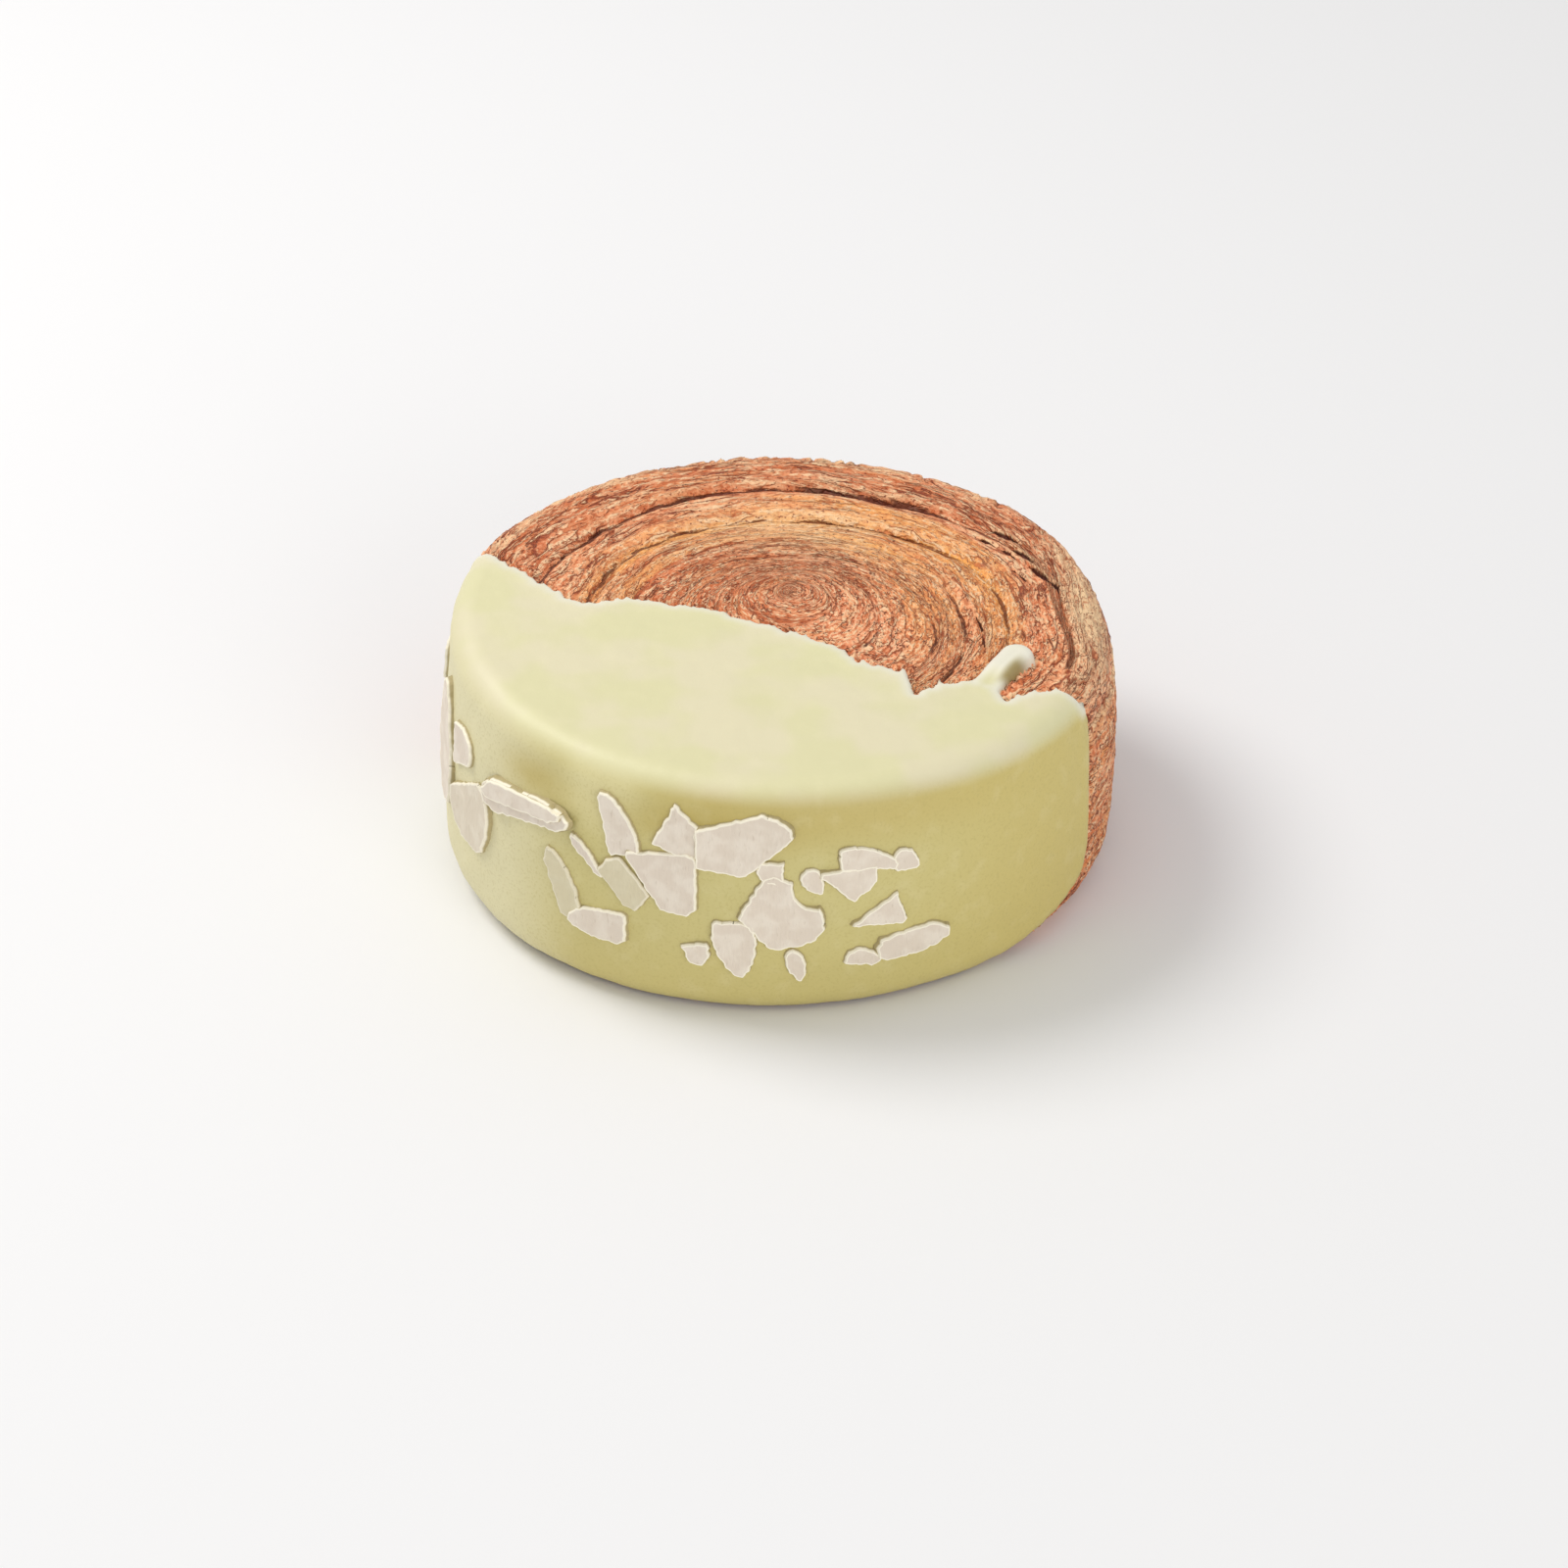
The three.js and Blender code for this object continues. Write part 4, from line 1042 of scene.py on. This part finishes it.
def break_off(piece, breaks):
    """Cuts off what lies beyond the straight breaks, and halves the long edges."""
    edit(piece)
    for facing, distance, *bite in breaks:
        if not bite:
            way = direction(facing)
            bpy.ops.mesh.select_all(action="SELECT")
            bpy.ops.mesh.bisect(plane_co=way * distance * MM, plane_no=way, clear_outer=True)
    for _ in range(EDGE_HALVINGS):
        bpy.ops.mesh.select_all(action="DESELECT")
        bpy.ops.mesh.select_mode(type="EDGE")
        bpy.ops.object.mode_set(mode="OBJECT")
        points = piece.data.vertices
        for side in piece.data.edges:
            here, there = (points[end].co for end in side.vertices)
            side.select = (here - there).length > FLAKE_EDGE * MM
        bpy.ops.object.mode_set(mode="EDIT")
        if any(side.select for side in piece.data.edges):
            bpy.ops.mesh.subdivide()
    bpy.ops.mesh.select_mode(type="VERT")
    bpy.ops.object.mode_set(mode="OBJECT")


def fray(piece, number, breaks):
    """Presses the round bites in and makes the outline ragged."""
    for point in piece.data.vertices:
        x, y = point.co.x / MM, point.co.y / MM
        for facing, distance, *bite in breaks:
            if bite:
                middle = direction(facing) * distance * MM
                off = point.co - middle
                if off.length < bite[0] * MM:
                    point.co = middle + off.normalized() * bite[0] * MM
        point.co.x += RAGGED_FLAKE * MM * float(rough(x / 1.1, y / 1.1, number, 2))
        point.co.y += RAGGED_FLAKE * MM * float(rough(x / 1.1, y / 1.1, number + 50, 2))


# %% From an outline to a flake


def mark_lit_rim(piece):
    """Insets the outline and marks its border, where a painted highlight runs along the rim of the slice."""
    piece.data.attributes.new("rim", "FLOAT", "POINT")
    edit(piece)
    bpy.ops.mesh.inset(thickness=FLAKE_LIT_RIM * MM)
    bpy.ops.object.mode_set(mode="OBJECT")
    inner = np.empty(len(piece.data.vertices), bool)
    piece.data.vertices.foreach_get("select", inner)
    piece.data.attributes["rim"].data.foreach_set("value", 1.0 - inner)


def curl_and_thicken(piece, number, length):
    edit(piece)
    bpy.ops.mesh.quads_convert_to_tris(ngon_method="BEAUTY")
    bpy.ops.mesh.subdivide(number_cuts=1)
    bpy.ops.object.mode_set(mode="OBJECT")
    curl = LARGE_CURL if length > LARGE_FLAKE else SMALL_CURL
    for point in piece.data.vertices:
        x, y = point.co.x / MM, point.co.y / MM
        wave = FLAKE_WAVE * float(rough(x / 3, y / 3, number + 20)) + curl * ((x / length * 2) ** 2 - 0.5)
        point.co.z = (FLAKE_STAND + UPPER_FLAKES.get(number, 0) + wave) * MM
    edit(piece)
    bpy.ops.mesh.extrude_region_move(TRANSFORM_OT_translate={"value": (0, 0, -FLAKE_THICKNESS * MM)})
    face_outward()


def flare_and_soften(piece):
    """Widens the foot, where the coating crept up, marks it for a painted contact shadow and rounds the
    edges.
    """
    foot_shadow_mark = piece.data.attributes.new("foot", "FLOAT", "POINT")
    for point in piece.data.vertices:
        outward = Vector((point.normal.x, point.normal.y, 0))
        if point.co.z < 0 and outward.length > 0.2:
            point.co += outward.normalized() * FOOT_FLARE * MM
        foot_shadow_mark.data[point.index].value = point.co.z < 0
    soften = piece.modifiers.new("soft edges", "BEVEL")
    soften.width = FLAKE_BEVEL * MM
    soften.segments = 2
    soften.limit_method = "ANGLE"
    soften.angle_limit = math.radians(50)
    bpy.ops.object.modifier_apply(modifier=soften.name)


def flake(number, azimuth, level, length, breadth, turn, breaks):
    piece = teardrop(length, breadth, turn)
    break_off(piece, breaks)
    fray(piece, number, breaks)
    mark_lit_rim(piece)
    curl_and_thicken(piece, number, length)
    flare_and_soften(piece)
    over = piece.data.attributes.new("coated", "FLOAT", "POINT")
    over.data.foreach_set("value", np.full(len(piece.data.vertices), COATED_FLAKES.get(number, 0)))
    piece.data.transform(wall_frame(azimuth, level))
    return piece


# %% Make all flakes and join them
flakes = [flake(number, *values) for number, values in enumerate(FLAKES)]
bpy.ops.object.select_all(action="DESELECT")
for piece in flakes:
    piece.select_set(True)
bpy.context.view_layer.objects.active = flakes[0]
bpy.ops.object.join()
almonds = bpy.context.object
almonds.name = almonds.data.name = "almond_flakes"
bpy.ops.object.shade_smooth_by_angle(angle=math.radians(40))
print(len(flakes), "flakes")
count_triangles(almonds)
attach(almonds, "root")
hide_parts("pistachio_glaze")

# %% [markdown]
# ## A small language for finishes
# Shader nodes are easy to wire by hand and hard to read back. One small class lets a pattern be written
# as a sum, and a second one adds any other node and lays colours over each other.

# %% Sockets that can be added and multiplied


class Pattern:
    """A socket of a finish's nodes, with sums written as in school."""

    def __init__(self, finish, socket):
        self.finish = finish
        self.socket = socket

    def math(self, operation, *others):
        return self.finish.node("ShaderNodeMath", {"operation": operation}, [self, *others])

    def __add__(self, other):
        return self.math("ADD", other)

    def __mul__(self, other):
        return self.math("MULTIPLY", other)

    def __sub__(self, other):
        return self.math("SUBTRACT", other)

    def __rsub__(self, other):
        return self * -1 + other

    __radd__ = __add__
    __rmul__ = __mul__

    def within(self, low, high):
        """0 below low, 1 above high, with a soft rise between."""
        settings = {"interpolation_type": "SMOOTHSTEP"}
        return self.finish.node("ShaderNodeMapRange", settings, [self, low, high, 0.0, 1.0])

    def line(self, width, middle=0.5):
        """1 along the thin lines where a noise passes a value."""
        return 1 - (self - middle).math("ABSOLUTE").within(0.0, width)


class Finish:
    """A material that is built from patterns."""

    def __init__(self, name):
        self.material = bpy.data.materials.new(name)
        self.material.use_nodes = True
        self.tree = self.material.node_tree
        self.shader = next(node for node in self.tree.nodes if node.type == "BSDF_PRINCIPLED")

    def plug(self, socket, value):
        if isinstance(value, Pattern):
            self.tree.links.new(value.socket, socket)
        else:
            socket.default_value = value

    def node(self, kind, settings, values, output=0):
        node = self.tree.nodes.new(kind)
        for name, value in settings.items():
            setattr(node, name, value)
        named = values.items() if isinstance(values, dict) else enumerate(values)
        for key, value in named:
            self.plug(node.inputs[key], value)
        return Pattern(self, node.outputs[output])

    def mark(self, name):
        """A number kept on the piece's points."""
        return self.node("ShaderNodeAttribute", {"attribute_name": name}, {}, "Fac")

    def part(self, places, axis):
        return self.node("ShaderNodeSeparateXYZ", {}, {"Vector": places}, axis)

    def joined(self, x, y):
        return self.node("ShaderNodeCombineXYZ", {}, [x, y])

    def places_in_mm(self):
        places = self.node("ShaderNodeTexCoord", {}, {}, "Object")
        return self.node("ShaderNodeVectorMath", {"operation": "SCALE"}, {"Vector": places, "Scale": 1 / MM})

    def blend(self, share, low, high):
        settings = {"data_type": "RGBA", "clamp_factor": True}
        return self.node("ShaderNodeMix", settings, {0: share, 6: low, 7: high}, 2)

    def paint_over(self, base, coats):
        """Lays coats over a base one after another, each as (share, colour)."""
        for share, colour in coats:
            base = self.blend(share, base, colour)
        return base

    def speckle(self, places, sizes, detail=2.0):
        """Noise over places in mm, with the size of a grain along each axis in mm."""
        scales = [1 / size for size in sizes]
        scaled = self.node("ShaderNodeMapping", {}, {"Vector": places, "Scale": scales})
        return self.node("ShaderNodeTexNoise", {}, {"Vector": scaled, "Scale": 1.0, "Detail": detail})

    def bumps(self, height, strength, distance):
        values = {"Strength": strength, "Distance": distance, "Height": height}
        return self.node("ShaderNodeBump", {}, values)

    def done(self, colour, roughness, normal=None):
        self.plug(self.shader.inputs["Base Color"], colour)
        self.plug(self.shader.inputs["Roughness"], roughness)
        if normal:
            self.plug(self.shader.inputs["Normal"], normal)
        print(self.material.name, "has", len(self.tree.nodes), "nodes")
        return self.material


def paint(red, green, blue):
    """A colour as picked on a screen, 0 to 255, as the linear colour that a shader wants."""
    def linear(c):
        c = c / 255
        return c / 12.92 if c < 0.04045 else ((c + 0.055) / 1.055) ** 2.4
    return (linear(red), linear(green), linear(blue), 1)


# %% [markdown]
# ## The crust
# Baked dough is matt and many-coloured: tan leaves, pinkish brown where it browned, gold where butter
# pooled, red-brown in every gap, which is partly the dough's own colour and partly painted shade. A painted
# picture could carry all that, but it would blur close up.
# The marks on the mesh place the broad colours, and noise drawn out along the strip makes the strands
# and crumbs. Where a noise passes one value there is a thin line, a gap between two leaves, and where
# it passes a slightly higher value there is the lit edge beside that gap.

# %% Crust patterns
LONG_GAP, LONG_LIT = 0.032, 0.035      # widths of the thin lines, as a range of the noise
SHORT_GAP, SHORT_LIT = 0.036, 0.05
crust = Finish("baked_crust")
ridged, gold, torn, pale = (crust.mark(name) for name in ("ridged", "gold", "torn", "pale"))
layered = 1 - crust.mark("calm") * 0.35
unrolled = crust.node("ShaderNodeUVMap", {"uv_map": "strip"}, {})
along_strip, across_strip = crust.part(unrolled, "X"), crust.part(unrolled, "Y")
wander = (crust.speckle(unrolled, (20, 5, 1), 1) - 0.5) * 3
wander = wander + (crust.speckle(unrolled, (4.5, 1.8, 1), 1) - 0.5) * 1.1
flowing = crust.joined(along_strip, across_strip + wander)
twisted = crust.joined(along_strip, across_strip + wander + along_strip * ROPE_SLANT)
strands = crust.speckle(flowing, (11, 1, 1), 2)
crumbs = crust.speckle(flowing, (1.7, 0.55, 1), 2.5)
grain = crust.speckle(unrolled, (0.8, 0.4, 1), 2)
streaks = crust.speckle(unrolled, (7, 0.5, 1), 3)
flecks = crust.speckle(unrolled, (0.8, 0.5, 1), 3)
broad_streaks = crust.speckle(unrolled, (20, 1.6, 1), 2)
# the crest mark makes ridge tops paler, partly as painted highlight
light = crust.mark("tone") * 0.3 + (broad_streaks - 0.5) * 1.6 + (crust.mark("crest") - 0.5) * 0.3
field = (strands - 0.5) * layered * 1.4 + (crumbs - 0.5) * 1.5 + (grain - 0.5) * (ridged * 1.2 + 0.8)

# %% Gaps between the leaves, each with a lit edge beside it
# The gaps are painted dark, partly as browned dough and partly as painted shade; the lit edges beside them
# are painted highlights.
long_edge = crust.speckle(flowing, (15, 1.8, 1), 1.5) + (crumbs - 0.5) * 0.16
long_part = crust.speckle(flowing, (13, 3.5, 1), 2).within(0.44, 0.54) * layered
short_edge = crust.speckle(flowing, (6, 1, 1), 1) * (1 - ridged)
short_edge = short_edge + crust.speckle(twisted, (2.6, 0.9, 1), 1) * ridged
short_edge = short_edge + (grain - 0.5) * (ridged * 0.22 + 0.08)
short_part = crust.speckle(unrolled, (3.2, 1.6, 1), 2).within(0.44, 0.54) * (ridged * 0.4 + 0.6)
long_gaps = long_edge.line(LONG_GAP) * long_part
gaps = long_gaps.math("MAXIMUM", short_edge.line(SHORT_GAP) * short_part)
gaps = gaps * (1 - pale * 0.5) * (1 - gold * 0.55)
long_lit = long_edge.line(LONG_LIT, 0.56) * long_part
lit_edges = long_lit.math("MAXIMUM", short_edge.line(SHORT_LIT, 0.59) * short_part)

# %% Torn seams and openings
# Torn seams and openings are painted dark inside, partly as dough and partly as painted shade.
ragged = crust.mark("seam_gap") + (streaks - 0.5) * 0.9 + (flecks - 0.5) * 0.5
crack = 1 - (ragged - torn * TORN_WIDTH).within(-0.12, 0.14)
split = crack * torn.within(0.1, 0.4)
slit = (crust.mark("slit") + (flecks - 0.5) * 0.5).within(-0.05, 0.3)

# %% Crust finish
tan, rosy_tan = paint(253, 176, 128), paint(250, 160, 112)
browned, golden = paint(224, 134, 87), paint(255, 176, 86)
pale_leaf, toasted_and_shade, red_brown = paint(255, 214, 168), paint(204, 100, 44), paint(130, 42, 2)
cream, deep_gap, golden_gap = paint(255, 216, 166), paint(96, 34, 10), paint(140, 66, 6)
inside_gap = crust.blend(gold, deep_gap, golden_gap)
dough = crust.paint_over(tan, [
    (ridged * 0.6, rosy_tan),
    (crust.mark("brown"), browned),
    (gold, golden),
    (pale, cream),
    (light.within(0.05, 0.8) * 0.5, pale_leaf),
    ((light * -1).within(0.05, 0.8) * 0.5, toasted_and_shade),
    (field.within(0.0, 0.33) * 0.85, pale_leaf),
    ((field * -1).within(0.04, 0.3) * (0.85 - gold * 0.5), toasted_and_shade),
    (pale * 0.6, cream),
    (lit_edges * (0.65 - ridged * 0.35), pale_leaf),
    # gaps, dark marks, seams and openings: partly browned dough, partly painted shade
    (gaps.within(0.05, 0.55) * 0.75, toasted_and_shade),
    (gaps.within(0.4, 0.95) * 0.8, red_brown),
    (flecks.within(0.6, 0.66) * 0.8, red_brown),
    (crust.mark("dark").within(0.1, 0.9) * 0.4, red_brown),
    (split * 0.9, inside_gap),
    (slit, inside_gap),
])
relief = strands * 0.6 + crumbs * 0.75 + grain * 0.35 + lit_edges * 0.1
relief = relief - gaps * 0.4 - split * 0.4 - slit * 0.5
crust_finish = crust.done(dough, 0.56 + 0.2 * streaks, crust.bumps(relief, 1.0, MM))
for piece in (rolled_top, baked_wall):
    piece.data.materials.append(crust_finish)

# %% [markdown]
# ## The coating's finish
# White chocolate with pistachio sets to a satin skin. It is palest on the top and at the lip, where it ran
# thin, and greener on the wall. An olive painted shade lies under the shoulder and on the finger's right
# flank. The left of the wall is painted lighter as if lit, its right darker as painted shade, and the
# finger's top lighter as painted light. One colour would look like plastic. Height, the side and the marks
# on the mesh decide the colour, and soft blotches and fine dust break it up.

# %% Coating patterns
coat = Finish("pistachio_coat")
in_mm = coat.places_in_mm()
side = coat.part(in_mm, "X")
level = coat.part(in_mm, "Z") + side * (LEAN / RADIUS)
cloud = coat.speckle(in_mm, (13, 13, 13), 2)
mottle = coat.speckle(in_mm, (3.5, 3.5, 3.5), 3)
dust = coat.speckle(in_mm, (0.45, 0.45, 0.45), 2)
olive_shade = coat.mark("olive_shade")
on_wall = 1 - level.within(36.0, 40.0)
light_patch = side.within(-35.0, -29.0) * (1 - side.within(-25.0, -18.0)) * level.within(27.0, 33.0)
by_edge = (1 - coat.mark("inside").within(0.2, 2.6)) * level.within(36.0, 38.0)

# %% Coating finish
wall_green = coat.paint_over(paint(198, 184, 116), [
    (level.within(0.0, 26.0), paint(202, 191, 128)),
    # painted shade in the band under the shoulder
    (level.within(28.0, 36.0) * (side.within(-27.0, -8.0) * 0.7 + 0.05), paint(194, 175, 102)),
    # painted shade on the right side of the wall
    (side.within(10.0, 45.0), paint(201, 184, 110)),
    # painted light on the left side of the wall, towards the key light
    (1 - side.within(-44.0, -29.0), paint(220, 212, 168)),
    (light_patch * 0.8, paint(222, 213, 160)),
    # painted shade: the olive band under the shoulder and the finger's shaded flank
    (olive_shade, paint(184, 164, 84)),
])
top_cream = coat.blend(cloud.within(0.4, 0.62), paint(226, 218, 183), paint(222, 217, 172))
skin_colour = coat.paint_over(wall_green, [
    ((level + side.within(10.0, 40.0)).within(37.6, 40.6), top_cream),
    (by_edge * 0.8, paint(238, 235, 220)),
    # painted light on the finger's rounded top
    (coat.mark("finger") * 0.7, paint(240, 237, 226)),
    # painted shadow, darker still, on the finger's right flank
    (olive_shade * level.within(38.0, 40.0) * 0.9, paint(150, 128, 62)),
    (mottle.within(0.5, 0.75) * 0.1, paint(238, 230, 190)),
    (dust.within(0.5, 0.7) * on_wall * 0.25, paint(176, 160, 90)),
])
skin_bumps = coat.bumps(mottle * 0.6 + dust * 0.25, 0.35, 0.3 * MM)
coating.data.materials.append(coat.done(skin_colour, 0.42 + 0.15 * mottle, skin_bumps))

# %% [markdown]
# ## The almonds' finish
# A slice of blanched almond is off-white and matt, with fine fibres. Its cut rim carries a painted
# highlight, and a painted contact shadow lies round each foot, where the coating crept up. The coating also
# ran over a few flakes. White plastic would do from far away. The marks that were set while each flake was
# made put those colours exactly at its edges.

# %% Almond finish
almond = Finish("flaked_almond")
in_mm = almond.places_in_mm()
fibre = almond.speckle(in_mm, (0.5, 0.5, 1.6), 3)
patch = almond.speckle(in_mm, (3, 3, 3), 2)
coated = almond.mark("coated")
flesh = almond.paint_over(paint(221, 208, 191), [
    (patch.within(0.4, 0.65), paint(229, 218, 202)),
    (fibre.within(0.6, 0.75) * 0.5, paint(200, 186, 166)),
    (coated, paint(204, 196, 146)),
    # painted highlight along each flake's rim
    (almond.mark("rim").within(0.1, 0.7) * (1 - coated), paint(247, 240, 220)),
    # painted contact shadow round each flake's foot
    (almond.mark("foot").within(0.2, 0.5) * 0.8, paint(156, 137, 68)),
])
flake_bumps = almond.bumps(fibre + patch, 0.5, 0.3 * MM)
almonds.data.materials.append(almond.done(flesh, 0.5 + 0.2 * fibre, flake_bumps))

# %% [markdown]
# ## Floor, light and camera
# A pale floor without edges, one large soft light from the upper left behind, a weaker one from the
# front right and a bright room. The camera stands where the photographer stood. The round outline gives
# that away: its ellipse tells how high, and how it narrows towards the back tells how far.

# %% Floor
FLOOR_SIZE = 6          # metres
bpy.ops.object.select_all(action="DESELECT")
bpy.ops.mesh.primitive_plane_add(size=FLOOR_SIZE)
floor = bpy.context.object
floor.name = "floor"
ground = Finish("pale_floor")
floor.data.materials.append(ground.done(paint(238, 238, 239), 0.8))

# %% Light
ROOM_STRENGTH = 0.6
WARM = (1, 0.98, 0.95)
world = bpy.data.worlds.new("room")
bpy.context.scene.world = world
world.use_nodes = True
room = world.node_tree.nodes["Background"].inputs
room["Color"].default_value = (1, 1, 1, 1)
room["Strength"].default_value = ROOM_STRENGTH


def soft_light(name, place, size, power):
    bpy.ops.object.light_add(type="AREA", location=place)
    light = bpy.context.object
    light.name = name
    light.data.shape = "DISK"
    light.data.size = size
    light.data.energy = power
    light.data.color = WARM
    light.rotation_euler = Vector(place).to_track_quat("Z", "Y").to_euler()
    print(name, "stands", round(Vector(place).length, 2), "m away")


soft_light("window", (-0.55, 0.25, 0.8), size=0.5, power=5.2)
soft_light("room_front", (0.45, -0.9, 0.35), size=0.7, power=3.2)
bpy.context.scene.view_settings.view_transform = "Standard"

# %% Camera
CAMERA_DISTANCE, CAMERA_ELEVATION = 700, math.radians(34.18)
CAMERA_TARGET = Vector((0.335, 0, 7.711))
CAMERA_LENS, FILM_WIDTH = 100.24, 36
back = Vector((0, -math.cos(CAMERA_ELEVATION), math.sin(CAMERA_ELEVATION)))
bpy.ops.object.camera_add(location=(CAMERA_TARGET + back * CAMERA_DISTANCE) * MM)
camera = bpy.context.object
camera.rotation_euler = back.to_track_quat("Z", "Y").to_euler()
camera.data.lens = CAMERA_LENS
camera.data.sensor_width = FILM_WIDTH
camera.data.clip_start = 0.01
bpy.context.scene.camera = camera
